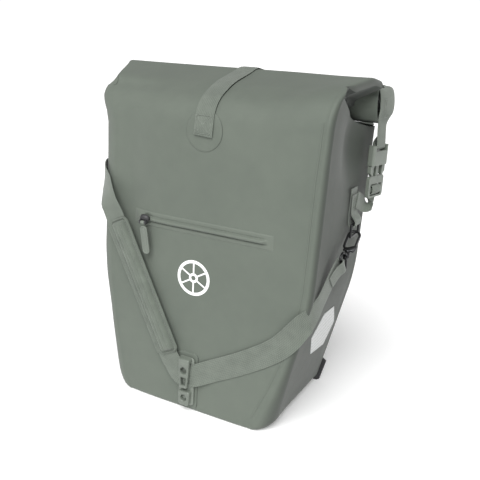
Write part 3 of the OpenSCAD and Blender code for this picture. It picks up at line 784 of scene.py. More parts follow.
def build_rear():
    """The rear panel between the two rear seams, and the bottom inside the floor line."""
    left, right = SIDE_GRIDS[-1][:, -1], SIDE_GRIDS[1][:, -1]
    n = 41
    t = np.linspace(0, 1, n)[None, :, None]
    grid = right[:, None, :] * (1 - t) + left[:, None, :] * t
    normals = grid_normals(grid)
    rear = thick_sheet("rear_skin", grid, normals, SKIN, MATERIALS["tpu_fabric"])
    finish_piece(rear, "bag", ["rear_panel"])
    outline = np.concatenate([SIDE_GRIDS[-1][0, ::-1], FRONT_GRID[0, 1:-1], SIDE_GRIDS[1][0],
                              grid[0, 1:-1]], axis=0)
    middle = outline.mean(axis=0)
    rings = []
    for k, share in enumerate((1, 0.97, 0.88, 0.7, 0.45, 0.18)):
        ring = middle + (outline - middle) * share
        ring[:, 2] = 1.4 * (1 - share ** 6)
        rings.append(ring)
    verts = np.vstack(rings + [middle[None, :] + [0, 0, 1.4]])
    m = len(outline)
    faces = []
    for k in range(len(rings) - 1):
        faces += band(k * m, (k + 1) * m, m, True)
    last = (len(rings) - 1) * m
    faces += [(last + i, len(verts) - 1, last + (i + 1) % m) for i in range(m)]
    count = len(verts)
    faces += [tuple(i + count for i in face)[::-1] for face in faces]
    faces += [(i, i + count, (i + 1) % m + count, (i + 1) % m) for i in range(m)]
    both = np.vstack([verts, verts + [0, 0, SKIN]])
    bottom = make_object("bottom_skin", both, faces, None, None, MATERIALS["tpu_fabric"])
    fix_winding(bottom)
    finish_piece(bottom, "bag", ["bottom_panel"])


# ------------------------------------------------------------------ closure: cover, side tucks, neck and roll

def build_cover():
    """The cover from the fold back to the roll, with its side edges turned under."""
    first = FOLD_ROW
    curl = 9                      # columns that turn the side edges under
    points = FRONT_GRID[first:]
    normals = FRONT_N[first:]
    parts, part_n = [points], [normals]
    for side in (-1, 1):
        radius = 6.5 if side > 0 else 4.0
        start = 0.0 if side > 0 else 0.3
        share = smooth((np.linspace(0, 1, points.shape[0]) - start) * 4)[:, None]
        col = -1 if side > 0 else 0
        n = normals[:, col]
        out = unit(np.stack([np.full(len(n), float(side)), 0 * n[:, 0], 0 * n[:, 0]], axis=-1)
                   - n * (n[:, :1] * side))
        ring, ring_n = [], []
        for k in range(1, curl + 1):
            t = k / curl * math.radians(115)
            ring.append(points[:, col] + (out * math.sin(t) - n * (1 - math.cos(t))) * radius * share)
            ring_n.append(unit(n * math.cos(t) + out * math.sin(t)))
        ring, ring_n = np.stack(ring, axis=1), np.stack(ring_n, axis=1)
        if side > 0:
            parts, part_n = parts + [ring], part_n + [ring_n]
        else:
            parts, part_n = [ring[:, ::-1]] + parts, [ring_n[:, ::-1]] + part_n
    grid, grid_n = np.concatenate(parts, axis=1), np.concatenate(part_n, axis=1)
    cover = thick_sheet("cover_skin", grid, grid_n, SKIN, MATERIALS["tpu_fabric"])
    finish_piece(cover, None, ["top_cover"], BLEND)
    return grid


def build_tucks(cover_grid):
    """Each gusset's top folds in between the front and the back, as a paper bag does."""
    for side, name in ((-1, "left"), (1, "right")):
        gusset = SIDE_GRIDS[side]
        edge = gusset[-1]
        reach = int(np.argmin(np.abs(SIDE_A - 0.9)))
        low = resample(edge[:reach + 1], 2.4)
        cover = cover_grid[:, -1 if side > 0 else 0]
        n = len(low)
        along = lengths(cover) / lengths(cover)[-1]
        at = np.linspace(0, 1, n)
        high = np.stack([np.interp(at, along, cover[:, k]) for k in range(3)], axis=1)
        rows = 30
        v = np.linspace(0, 1, rows)
        taut = 0.0 if side > 0 else 0.32
        depth = (64 if side > 0 else 46) * smooth((at - taut) * 1.8) * (0.75 + 0.25 * at)
        deepest = 0.36
        valley = np.minimum(v / deepest, (1 - v) / (1 - deepest))
        valley = valley - 0.05 * smooth((valley - 0.8) / 0.2)
        grid = mix(low[None], high[None], v[:, None, None])
        ridge = np.exp(-((v[:, None] - (0.74 - 0.2 * at[None])) / 0.13) ** 2)
        fold = ridge * smooth((at[None] - 0.15 - taut) / 0.5)
        inward = depth[None] * valley[:, None] - 17 * fold * np.sin(np.pi * v)[:, None]
        inward += 1.2 * waves(grid, 26, 21) * np.sin(np.pi * v)[:, None] * smooth((at - taut) * 3)[None]
        grid = grid.copy()
        grid[..., 0] -= side * inward
        grid[..., 2] -= 5 * np.sin(np.pi * v)[:, None] * smooth((at - taut) * 2)[None]
        if side < 0:
            grid = grid[:, ::-1]
        normals = grid_normals(grid)
        # The right tuck takes the much darker cloth as painted shade for the hollow of its fold; the left tuck
        # keeps the plain cloth.
        cloth = MATERIALS["tpu_inside" if side > 0 else "tpu_fabric"]
        tuck = thick_sheet(f"tuck_{name}", grid, normals, 0.7, cloth)
        finish_piece(tuck, None, (), BLEND)


ROLL_OUTLINE = [(37, 442), (56, 438.6), (79, 425), (96, 411.5), (101.6, 400), (97, 391), (84, 388.2),
                (62, 388.6), (46, 394), (38, 405), (36, 422), (41, 434)]
ROLL_MID = np.array([68.0, 413.0])
PLY = 0.17                        # each turn of the roll is smaller by this share of the outermost one


def build_roll():
    """The rolled top: one sheet wound two and a half times round the stiffener."""
    one = curve_through(ROLL_OUTLINE + [(44, 438.6)], 2.2)[:-1]
    turns = []
    for k in range(3):
        steps = one if k < 2 else one[:int(len(one) * 0.5)]
        for i, p in enumerate(steps):
            turned = i / len(one)
            if k == 0:
                share = 1 - PLY * smooth((turned - 0.55) / 0.45)
            else:
                share = mix(1 - PLY * k, 1 - PLY * (k + 1), turned)
            turns.append(ROLL_MID + (p - ROLL_MID) * share)
    line = resample(np.array(turns), 2.2)
    cols = 61
    x = np.linspace(-1, 1, cols)
    grid = np.zeros((len(line), cols, 3))
    rng = np.random.default_rng(5)
    phase = rng.uniform(0, 6.28, 4)
    at = np.linspace(0, 1, len(line))
    for k, xs in enumerate(x):
        ragged = 1.3 * np.sin(9 * at + phase[0] * np.sign(xs)) + 0.9 * np.sin(23 * at + phase[1])
        grid[:, k, 0] = xs * (ROLL_W - 1 + ragged * np.abs(xs) ** 8 - 2.2 * at * np.abs(xs) ** 8)
        grid[:, k, 1:] = line
    ripple = waves(grid, 60, 31) * 0.6
    radial = unit(np.concatenate([0 * grid[..., :1], grid[..., 1:] - ROLL_MID], axis=-1))
    grid += radial * ripple[..., None] * smooth(np.arange(len(line)) / 8)[:, None, None]
    # Seen from behind, columns run from the right end to the left
    grid = grid[:, ::-1][::-1]
    normals = grid_normals(grid)
    roll = thick_sheet("roll_skin", grid, normals, SKIN, MATERIALS["tpu_fabric"])
    finish_piece(roll, "roll_top", ["roll"])


def build_neck():
    """The back of the neck, which runs up from the rear panel into the roll."""
    path = [(REAR - 1.4, REAR_TOP - 12), (REAR - 1.2, REAR_TOP - 2), (REAR - 5, REAR_TOP + 3),
            (60, 387.4), (50, 390)]
    line = curve_through(path, 1.2)
    cols = 41
    x = np.linspace(1, -1, cols)
    width = mix(SHOULDER_W - 6, ROLL_W - 6, smooth(np.linspace(0, 1, len(line))))
    grid = np.zeros((len(line), cols, 3))
    grid[..., 0] = x[None, :] * width[:, None]
    grid[..., 1] = line[:, :1]
    grid[..., 2] = line[:, 1:]
    neck = thick_sheet("neck_back", grid, grid_normals(grid), 0.7, MATERIALS["tpu_fabric"])
    finish_piece(neck, None, (), ((0, REAR, REAR_TOP - 4), (0, REAR - 30, REAR_TOP + 4)))


# ------------------------------------------------------------------ strap over the top

def build_top_strap():
    """The strap from its sewn end on the front, over the cover and the roll, to the rear buckle."""
    low, high = mm_box("top_strap_sewn")
    width = high[0] - low[0]
    gap = 1.9
    cover = LOW_LINE
    tangent = unit(np.gradient(cover, axis=0))
    out = np.stack([-tangent[:, 1], tangent[:, 0]], axis=1)
    sag = 2.4 * np.sin(np.pi * np.clip((np.arange(len(cover)) - LOW_FOLD) / (len(cover) - LOW_FOLD), 0, 1))
    over = cover + out * gap
    over[:, 1] -= sag * 0.9
    rear_y = mm_mid("buckle_female_rear")[1]
    rear_z = mm_box("buckle_female_rear")[1][2]
    end_z = low[2] + SEWN_RISE
    start = [(front_back(TOP_STRAP_X, end_z) - 2.2, end_z),
             (front_back(TOP_STRAP_X, end_z + 12) - 2.7, end_z + 12)]
    roll_side = [(58, 440.4), (81, 426), (98.4, 413), (104, 400), (102.5, 391)]
    end = [(rear_y + 3.4, rear_z - 5), (rear_y + 3.2, rear_z - 10), (rear_y, rear_z - 11.5),
           (rear_y - 3.2, rear_z - 9), (rear_y - 3.2, rear_z + 6)]
    middle = [tuple(p) for p in over[18:-2:9]]
    line = curve_through(start + middle + roll_side + end, 2.5)
    centres = np.stack([np.full(len(line), TOP_STRAP_X), line[:, 0], line[:, 1]], axis=1)
    centres[:, 0] -= 1.6 * smooth((385 - centres[:, 2]) / 30) * (centres[:, 1] < 0)
    across = np.tile([1.0, 0, 0], (len(centres), 1))
    # The strap is cut at the crest: the part in front stays put, as the cover does; from there on it moves with
    # the roll
    top = int(np.argmax(centres[:, 2]))
    strap = ribbon("top_strap_web", centres[:top + 1], across[:top + 1], width, WEB, MATERIALS["webbing"])
    finish_piece(strap, None, ["top_strap_sewn"], BLEND)
    strap = ribbon("top_strap_rear_web", centres[top:], across[top:], width, WEB, MATERIALS["webbing"])
    finish_piece(strap, "roll_top", ["top_strap"])
    # Box stitching with a cross at the sewn end
    half = width / 2 - 2.5
    box_low, box_high = end_z + 3, end_z + 24

    def at(x, z):
        return front_point(TOP_STRAP_X - 1.2 + x, z, 3.35)

    corners = [at(-half, box_low), at(half, box_low), at(half, box_high), at(-half, box_high)]
    thread = capsules("top_strap_stitching", box_lines(corners), 0.42, MATERIALS["thread"])
    finish_piece(thread, "bag", ())


def skin_patch(name, outline, place_at, levels, material):
    """A patch that follows the wall. The outline is shrunk in rings to the middle; levels are
    (share, height), from the middle out, and place_at(a, b, height) gives the place on the wall."""
    outline = np.array(outline, float)
    middle = (outline.min(axis=0) + outline.max(axis=0)) / 2
    n = len(outline)
    verts = []
    for share, height in levels:
        flat = middle + (outline - middle) * share
        verts.append(place_at(flat[:, 0], flat[:, 1], height))
    faces = [tuple(range(n))]
    for k in range(len(levels) - 1):
        faces += band(k * n, (k + 1) * n, n, True)
    faces.append(tuple(range((len(levels) - 1) * n, len(levels) * n)))
    patch = make_object(name, np.vstack(verts), faces, None, None, material)
    fix_winding(patch)
    return patch


def side_point(y, z, side, out):
    """A point on a gusset's flat, out mm outside it."""
    y, z = np.asarray(y, float), np.asarray(z, float)
    rows = HIGH_ROWS if side > 0 else LOW_ROWS
    radius = corner_radius(z, side)
    front = np.interp(z, rows[:FOLD_ROW + 1, 1], rows[:FOLD_ROW + 1, 0])
    front = front + crown(side * (half_width(z, side) - radius), z) + radius
    share = np.clip((y - front) / (REAR - REAR_R - front), 0, 1)
    place = wall_point(z, mix(CORNER_SHARE, STRAIGHT_SHARE, share), side)
    place[..., 0] += side * out
    return place


def build_strap_patch():
    """The round patch that backs the sewn end, and the one behind the keeper."""
    low, high = mm_box("strap_patch")
    middle = (low + high) / 2 + [0, 0, SEWN_RISE]
    outline = [(middle[0] + p, middle[2] + q) for p, q in circle((high[0] - low[0]) / 2, (0, 0), 72)]
    levels = [(0.02, 0.75), (0.3, 0.75), (0.6, 0.78), (0.8, 0.9), (0.88, 0.98), (0.94, 0.85), (0.98, 0.5),
              (1.0, -0.3)]
    patch = skin_patch("strap_patch_skin", outline, front_point, levels, MATERIALS["tpu_fabric"])
    finish_piece(patch, "bag", ["strap_patch"])
    low, high = mm_box("keeper_patch")
    middle = (low + high) / 2
    outline = [(middle[0] + b, middle[2] + a) for a, b in
               rounded_outline((high[2] - low[2]) / 2, (high[0] - low[0]) / 2, 6)]
    outline = resample(np.array([(a, 0, b) for a, b in outline + outline[:1]]), 2.0)[:-1][:, [0, 2]]
    levels = [(0.1, 0.9), (0.5, 0.9), (0.85, 0.95), (0.93, 1.05), (0.975, 0.8), (1.0, -0.3)]
    patch = skin_patch("keeper_patch_skin", outline, front_point, levels, MATERIALS["tpu_fabric"])
    finish_piece(patch, "bag", ["keeper_patch"])


# The reflector's corners, as shares of the CAD one's box
REFLECTOR = [(0, 0.63), (0.26, 1), (0.68, 0.94), (1, 0.43), (0.80, 0), (0.25, 0.12)]


def build_reflectors():
    """A six-sided sheet of reflective film, welded to each gusset."""
    levels = [(0.5, 0.8), (0.8, 0.8), (0.97, 0.8), (0.99, 0.6), (1.0, -0.3)]
    for side, name in ((1, "right"), (-1, "left")):
        low, high = mm_box(f"reflector_{name}")
        size = high - low
        corners = [(low[1] + size[1] * a, 0, low[2] + size[2] * b) for a, b in REFLECTOR]
        edges = [resample(np.array([corners[i], corners[(i + 1) % 6]]), 3.0)[:-1] for i in range(6)]
        outline = np.vstack(edges)

        def place_at(y, z, height):
            return side_point(y, z, side, height)

        film = skin_patch(f"reflector_{name}_film", outline[:, [0, 2]], place_at, levels,
                          MATERIALS["reflective"])
        finish_piece(film, "bag", [f"reflector_{name}"])


def build_rear_anchor():
    """The short strap sewn to the rear panel, which runs up to the ladder bars of the rear buckle."""
    low, high = mm_box("rear_anchor_strap")
    mid = mm_mid("buckle_male_rear")[1]
    bar = high[2] - 6.5
    path = [(REAR + 1.3, low[2] - 2), (REAR + 1.5, low[2] + 9), (REAR + 4, low[2] + 15),
            (mid - 4.0, low[2] + 22), (mid - 4.0, bar - 1), (mid - 2.8, bar + 4.6), (mid, bar + 6),
            (mid + 2.8, bar + 4.6), (mid + 4.0, bar), (mid + 3.6, bar - 5), (mid - 0.6, bar - 6)]
    line = curve_through(path, 1.5)
    centres = np.stack([np.full(len(line), TOP_STRAP_X), line[:, 0], line[:, 1]], axis=1)
    across = np.tile([1.0, 0, 0], (len(centres), 1))
    strap = ribbon("rear_anchor_web", centres, across, high[0] - low[0] - 0.6, WEB, MATERIALS["webbing"])
    finish_piece(strap, "bag", ["rear_anchor_strap"])
    face, half = REAR + 2.4, (high[0] - low[0]) / 2 - 3
    box_stitch("rear_anchor_thread", [(TOP_STRAP_X + p, face, low[2] + q)
                                      for p, q in ((-half, 0.5), (half, 0.5), (half, 8), (-half, 8))], "bag")


# ------------------------------------------------------------------ shoulder strap

STRAP_W = 30.0
PAD_TURN = math.radians(2.8)      # the pad hangs this much steeper than the CAD one


def pad_frame():
    """Middle, direction down the pad, direction across it to the right, and length, from the CAD pad."""
    points = np.array([v.co[:] for v in frame["nodes"]["pad_cover"].data.vertices]) / MM
    matrix = np.array(frame["nodes"]["pad_cover"].matrix_world)
    points = points @ matrix[:3, :3].T + matrix[:3, 3] / MM
    flat = points[:, [0, 2]]
    middle = (flat.min(axis=0) + flat.max(axis=0)) / 2
    vectors = np.linalg.eigh(np.cov((flat - middle).T))[1]
    along = vectors[:, 1] * np.sign(-vectors[1, 1])
    reach = (flat - middle) @ along
    length = reach.max() - reach.min()
    # It turns about its lower end
    foot = middle + along * length / 2
    cos, sin = math.cos(PAD_TURN), math.sin(PAD_TURN)
    along = np.array([along[0] * cos + along[1] * sin, along[1] * cos - along[0] * sin])
    side = np.array([-along[1], along[0]])
    return foot - along * length / 2, along, side, length


PAD_CENTRE, PAD_ALONG, PAD_SIDE, PAD_LENGTH = pad_frame()


def on_pad(along, across, out):
    """A point of the pad: mm from its middle, mm to the right, mm in front of the bag's foremost plane."""
    p = PAD_CENTRE + PAD_ALONG * along + PAD_SIDE * across
    return np.array([p[0], FRONT - out, p[1]])


def on_left_corner(z, a, out):
    """A point out mm off the wall's rounded left corner; a runs as in wall_point."""
    turn = min(a / CORNER_SHARE, 1) * math.pi / 2
    place = wall_point(np.array([float(z)]), np.array([float(a)]), -1)[0]
    return place + np.array([-math.sin(turn), -math.cos(turn), 0]) * out


def build_shoulder_strap():
    """One long band: left eye, round the left corner, under the pad, through the keeper, to the right eye."""
    keeper = np.array(JOINTS["keeper_flex"]["pos_m"]) / MM
    clip = np.array([keeper[0], keeper[2] - 22.5])
    right_eye = eye_bar("right")
    left_eye = eye_bar("left")
    corner_right = np.array([half_width(160.0, 1), 160])
    shares = ((0.24, 0.17), (0.48, 0.36), (0.72, 0.585), (0.86, 0.77))
    ahead = [clip + (corner_right - clip) * np.array(share) for share in shares]
    start = [on_pad(-PAD_LENGTH / 2 - 26, -1, 4.4), on_pad(-PAD_LENGTH / 2 - 4, 0, 5.0), on_pad(0, 0, 5.2),
             on_pad(PAD_LENGTH / 2 - 4, 0, 5.0), on_pad(PAD_LENGTH / 2 + 12, 2, 5.2)]
    down = [front_point(clip[0] - 10, clip[1] + 2.5, 5.4), front_point(clip[0], clip[1] + 0.5, 5.6),
            front_point(clip[0] + 12, clip[1] + 5, 4.6)]
    over_front = [front_point(p[0], p[1], 1.7) for p in ahead]
    side_x = right_eye[0] - 5
    right = [np.array([corner_right[0] - 2.2, FRONT + 3.6, 163]), np.array([side_x - 8.5, FRONT + 13, 172]),
             np.array([side_x - 4.5, FRONT + 30, 187]),
             np.array([side_x - 1, right_eye[1] - 14, right_eye[2] - 12]), right_eye + [-3.6, 0.5, 1.0]]
    left = [left_eye + [3.9, 1, -1], left_eye + [3.6, -14, 10], on_left_corner(left_eye[2] + 19, 0.31, 3.0),
            on_left_corner(left_eye[2] + 18, 0.2, 3.4), on_left_corner(left_eye[2] + 6, 0.1, 3.8)]
    centres = curve_through(left + start + down + over_front + right, 3.0)
    marks = [(left[0], (-1, 0, 0)), (left[1], (-1, -0.05, 0)), (left[2], (-0.93, -0.35, 0)),
             (left[3], (-0.8, -0.6, 0)), (left[4], (-0.42, -0.9, 0)), (start[0], (-0.12, -1, 0)),
             (start[1], (0, -1, 0)), (down[0], (0, -1, 0)), (over_front[-1], (0.06, -1, 0)),
             (right[0], (0.62, -0.78, 0)), (right[1], (0.95, -0.3, 0)), (right[2], (1, 0, 0)),
             (right[4], (1, 0, 0))]
    at = [int(np.argmin(np.linalg.norm(centres - m[0], axis=1))) for m in marks]
    directions = np.array([m[1] for m in marks], float)
    normals = np.stack([np.interp(np.arange(len(centres)), at, directions[:, k]) for k in range(3)], axis=1)
    along = unit(np.gradient(centres, axis=0))
    across = unit(np.cross(along, normals))
    strap = ribbon("shoulder_strap_web", centres, across, STRAP_W, WEB, MATERIALS["webbing"])
    finish_piece(strap, "bag", ["shoulder_strap"])
    build_loops(centres)


def eye_bar(side):
    """Middle of the swivel eye's far bar, where the strap goes round."""
    swivel = JOINTS[f"hook_{side}_swivel"]
    return np.array(swivel["pos_m"]) / MM + unit(np.array(swivel["axis"])) * EYE_REACH


def build_loops(centres):
    """A sewn loop round each hook's eye, with box stitching."""
    for name, first, step in (("left", 0, 1), ("right", len(centres) - 1, -1)):
        root = centres[first + step * 2]
        run = unit(centres[first] - centres[first + step * 5])
        sign = -1 if name == "left" else 1
        out = np.array([float(sign), 0, 0])
        bar = eye_bar(name)
        points = [root, bar - out * 3.0, bar + run * 2.9 - out * 0.6, bar + run * 1.6 + out * 2.4,
                  bar - run * 2.0 + out * 3.0, bar - run * 9 + out * 0.2, bar - run * 22 - out * 1.3,
                  bar - run * 27 - out * 1.4]
        line = curve_through(points, 1.5)
        wide = unit(np.cross(run, out))
        across = np.tile(wide, (len(line), 1))
        loop = ribbon(f"strap_loop_{name}", line, across, 22, WEB, MATERIALS["webbing"])
        finish_piece(loop, "bag", ())
        face = bar + out * -0.4
        corners = [face - run * 11 - wide * 8, face - run * 11 + wide * 8,
                   face - run * 23 + wide * 8 - out * 0.5, face - run * 23 - wide * 8 - out * 0.5]
        thread = capsules(f"strap_loop_thread_{name}", box_lines(corners), 0.38, MATERIALS["thread"])
        finish_piece(thread, "bag", ())


# ------------------------------------------------------------------ shoulder pad

def pad_layer(name, length, width, shift, height_at, base, corner, material, columns=37):
    """A sewn, padded layer with a rounded outline. height_at gives its thickness at a place, from the two
    distances along and across it and the distance to its edge."""
    rows = int(length / 2.2)
    u = np.linspace(-1, 1, rows)
    v = np.linspace(-1, 1, columns)
    uu, vv = np.meshgrid(np.sign(u) * np.abs(u) ** 0.92, np.sign(v) * np.abs(v) ** 0.85, indexing="ij")
    half_l, half_w = length / 2, width / 2
    along, across = uu * half_l, vv * half_w
    end = np.clip(np.abs(along) - (half_l - corner), 0, corner)
    shrink = corner - np.sqrt(np.maximum(corner ** 2 - end ** 2, 0))
    across = across * (half_w - shrink) / half_w
    edge_w = (half_w - shrink) - np.abs(across)
    edge_l = half_l - np.abs(along)
    edge = np.minimum(edge_w, edge_l)
    top = height_at(along, across, np.maximum(edge, 0))
    grid = np.zeros((rows, columns, 3))
    places = PAD_CENTRE + along[..., None] * PAD_ALONG + (across + shift)[..., None] * PAD_SIDE
    grid[..., 0] = places[..., 0]
    grid[..., 1] = FRONT - base - top
    grid[..., 2] = places[..., 1]
    back = grid.copy()
    back[..., 1] = FRONT - base + 0 * top
    count = rows * columns
    a = (np.arange(rows - 1)[:, None] * columns + np.arange(columns - 1)[None]).ravel()
    quads = np.stack([a, a + 1, a + columns + 1, a + columns], axis=1)
    faces = quads.tolist() + (quads[:, ::-1] + count).tolist()
    border = [np.arange(columns), np.arange(rows) * columns + columns - 1,
              (rows - 1) * columns + np.arange(columns)[::-1], np.arange(rows)[::-1] * columns]
    for line in border:
        faces += np.stack([line[:-1] + count, line[1:] + count, line[1:], line[:-1]], axis=1).tolist()
    verts = np.vstack([grid.reshape(-1, 3), back.reshape(-1, 3)])
    obj = make_object(name, verts, faces, None, None, material)
    fix_winding(obj)
    obj.data.set_sharp_from_angle(angle=math.radians(70))
    return obj


def build_pad():
    """The shoulder pad: a ridged cover on a narrower sleeve, with its stitching."""
    fabric = MATERIALS["pad_fabric"]
    binding = 4.2

    def padding(along, across, edge):
        rim = 2.1 * smooth(edge / 1.3)
        groove = -1.5 * np.exp(-((edge - binding) / 0.9) ** 2)
        body = 4.3 * np.sqrt(smooth((edge - binding) / 5.0))
        channel = -1.1 * np.exp(-((np.abs(across - 0.5) - 3.6) / 0.8) ** 2) * smooth((edge - 7.5) / 3)
        middle = 0.3 * np.exp(-((across - 0.5) / 3.4) ** 4) * smooth((edge - 7.5) / 4)
        points = np.stack([along, across, 0 * along], axis=-1)
        soft = 0.35 * waves(points, 24, 3) * smooth((edge - 5) / 4)
        return rim + groove + body + channel + middle + soft

    def under(along, across, edge):
        points = np.stack([along, across, 0 * along], axis=-1)
        return 3.4 * np.sqrt(smooth(edge / 2.4)) + 0.2 * waves(points, 18, 8) * smooth(edge / 5)

    cover_w, cover_shift = 30.0, 4.6
    cover = pad_layer("pad_cover_soft", PAD_LENGTH, cover_w, cover_shift, padding, 6.6, 8.0, fabric)
    finish_piece(cover, "bag", ["pad_cover"])
    sleeve = pad_layer("pad_sleeve_soft", PAD_LENGTH - 4, 22.0, -7.8, under, 2.2, 3.0, fabric, 25)
    finish_piece(sleeve, "bag", ["pad_sleeve"])
    # Lockstitch round the binding, and the dark hook-and-loop edge where the cover folds over
    half_l, half_w, radius = PAD_LENGTH / 2 - binding, cover_w / 2 - binding, 4.5
    outline = rounded_outline(half_l, half_w, radius)
    line = [on_pad(u, v + cover_shift, 6.6 + 1.35) for u, v in outline + outline[:1]]
    stitches = capsules("pad_stitching", stitch_line(resample(np.array(line), 1.0), 2.2, 0.9), 0.36,
                        MATERIALS["thread"])
    finish_piece(stitches, "bag", ())
    reach = PAD_LENGTH / 2 - 8
    seam = [on_pad(u, cover_shift - cover_w / 2 - 0.9, 6.0) for u in (-reach, reach)]
    edge = capsules("pad_edge_stitching", stitch_line(seam, 1.5, 0.9), 0.5, MATERIALS["lining"])
    finish_piece(edge, "bag", ())


def rounded_outline(half_l, half_w, radius, steps=6):
    """A rounded rectangle as (along, across) points, anticlockwise."""
    points = []
    for quarter, (cu, cv) in enumerate(((1, 1), (-1, 1), (-1, -1), (1, -1))):
        for k in range(steps + 1):
            t = math.pi / 2 * (quarter + k / steps)
            points.append(((half_l - radius) * cu + radius * math.cos(t),
                           (half_w - radius) * cv + radius * math.sin(t)))
    return points


# ------------------------------------------------------------------ front zip

def build_zip():
    """A raised, welded flap with a rolled edge over the zip, a dark slit under it, and the zip's garage."""
    slider = mm_mid("zip_slider")
    welt_low, welt_high = mm_box("zip_welt")
    left, right = slider[0] + 1.0, mm_box("zip_tape")[1][0] - 8
    rest_z = slider[2]
    x = np.linspace(welt_low[0] + 1, welt_high[0] - 1, 120)
    z = rest_z + np.concatenate([np.linspace(-9.4, -5.2, 7), np.linspace(-4.9, 4.4, 24),
                                 np.linspace(4.8, 9.4, 10)])
    xx, zz = np.meshgrid(x, z)
    end_left = smooth((xx - left) / 7)
    end_right = 1 - smooth((xx - (right - 6)) / 9)
    ridge_here = end_left * end_right
    rel = zz - rest_z
    weld = 0.85 * smooth((xx - x[0]) / 5) * smooth((x[-1] - xx) / 5)
    weld *= smooth((9.4 - np.abs(rel)) / 1.6)
    slope = -0.45 * np.exp(-((rel - 3.4) / 0.8) ** 2) * ridge_here
    ridge = 3.3 * np.sqrt(np.clip(1 - ((rel - 0.2) / 2.7) ** 2, 0, 1)) * ridge_here
    slit = -2.2 * np.exp(-((rel + 3.1) / 0.7) ** 2) * ridge_here
    garage = 2.9 * np.exp(-((xx - slider[0] + 9) / 7.5) ** 2 - ((rel - 1.4) / 4.6) ** 2)
    hollow = -2.6 * np.exp(-((xx - slider[0]) / 4.6) ** 2 - (rel / 5) ** 4)
    height = weld + slope + ridge + slit + garage + hollow
    grid = front_point(xx, zz, 0.0)
    grid[..., 1] = grid[..., 1] - height
    normals = grid_normals(grid)
    flap = thick_sheet("zip_flap", grid, normals, 0.8, MATERIALS["welt"])
    finish_piece(flap, "bag", ["zip_welt", "zip_tape"])
    build_teeth(left, right, rest_z - 3.3)
    build_puller()


def build_pouch():
    """The pocket behind the zip: a flat bag of lining that hangs against the inside of the front."""
    low, high = mm_box("pocket_pouch")
    xx, zz = np.meshgrid(np.linspace(low[0], high[0], 25), np.linspace(low[2], high[2], 19))
    swell = 1.2 * np.sin(np.pi * (xx - low[0]) / (high[0] - low[0]))
    swell = swell + 0.5 * waves(np.stack([xx, 0 * xx, zz], -1), 40, 9)
    grid = front_point(xx, zz, -2.6)
    grid[..., 1] += np.maximum(swell, 0)
    pouch = thick_sheet("pocket_pouch_cloth", grid, grid_normals(grid), 2.4, MATERIALS["lining"])
    finish_piece(pouch, "bag", ["pocket_pouch"])


def build_teeth(left, right, z):
    """The zip's coil, deep in the slit under the flap."""
    segments = []
    for x in np.arange(left + 1, right - 2, 1.6):
        p = front_point(x, z, 0.1)
        segments.append((p + [0, 0, -0.9], p + [0.5, 0, 0.9]))
    coil = capsules("zip_coil", segments, 0.34, MATERIALS["zip_tape"])
    finish_piece(coil, "bag", ())


def lathe(profile, centre, axis, spokes=32, closed=False):
    """Points and faces of a solid turned about a line through the centre; profile is (along, radius)."""
    axis = unit(np.asarray(axis, float))
    helper = np.array([0, 0, 1.0]) if abs(axis[2]) < 0.9 else np.array([1.0, 0, 0])
    side = unit(np.cross(axis, helper))
    other = np.cross(axis, side)
    verts, faces = [], []
    for along, radius in profile:
        for k in range(spokes):
            t = 2 * math.pi * k / spokes
            verts.append(centre + axis * along + (side * math.cos(t) + other * math.sin(t)) * radius)
    for s in range(len(profile) if closed else len(profile) - 1):
        faces += band(s * spokes, (s + 1) % len(profile) * spokes, spokes)
    if not closed:
        faces.append(tuple(range(spokes))[::-1])
        faces.append(tuple((len(profile) - 1) * spokes + k for k in range(spokes)))
    return np.array(verts), faces


def plate_rings(outline, layers):
    """A plate built in rings: outline points (a, b) round a middle; layers are (shrink in mm, height)."""
    outline = np.array(outline)
    closed = np.vstack([outline[-1], outline, outline[0]])
    edge = unit(closed[2:] - closed[:-2])
    inward = np.stack([-edge[:, 1], edge[:, 0]], axis=1)
    n = len(outline)
    rings = [np.column_stack([outline + inward * shrink, np.full(n, height)]) for shrink, height in layers]
    faces = [tuple(range(n))[::-1]]
    for k in range(len(rings) - 1):
        faces += band(k * n, (k + 1) * n, n)
    faces.append(tuple((len(rings) - 1) * n + i for i in range(n)))
    return np.vstack(rings), faces


def build_puller():
    """The soft moulded puller: a rounded tag with a raised rim round a sunk face, and its neck."""
    pivot = np.array(JOINTS["puller_swing"]["pos_m"]) / MM
    lean = math.radians(9)
    length = 37.0
    layers = [(0.9, -1.5), (0.25, -1.25), (0.0, -0.6), (0.0, 0.7), (0.35, 1.25), (0.9, 1.45), (1.5, 1.3),
              (1.9, 0.85), (2.6, 0.78)]
    outline = [(v, u) for u, v in rounded_outline(length / 2, 5.2, 5.1, 9)][::-1]
    verts, faces = plate_rings(outline, layers)
    drop = 23                     # from the pivot to the middle of the tag
    centre = np.array([pivot[0] + math.sin(lean) * drop, pivot[1], pivot[2] - math.cos(lean) * drop])
    right = np.array([math.cos(lean), 0, math.sin(lean)])
    up = np.array([-math.sin(lean), 0, math.cos(lean)])
    out = np.array([0, -1.0, 0])
    placed = centre + verts[:, :1] * right + verts[:, 1:2] * up + verts[:, 2:] * out * 0.95
    neck = [(-2.7, 1.4), (-2.6, 2.2), (-2.0, 2.35), (2.0, 2.35), (2.6, 2.2), (2.7, 1.4)]
    neck_v, neck_f = lathe(neck, pivot, (1, 0, 0))
    count = len(placed)
    faces = faces + [tuple(i + count for i in f) for f in neck_f]
    verts = np.vstack([placed, neck_v])
    puller = make_object("zip_puller_tag", verts, faces, None, None, MATERIALS["rubber"])
    fix_winding(puller)
    puller.data.set_sharp_from_angle(angle=math.radians(60))
    finish_piece(puller, "zip_puller", ["zip_puller"])


# ------------------------------------------------------------------ printed mark

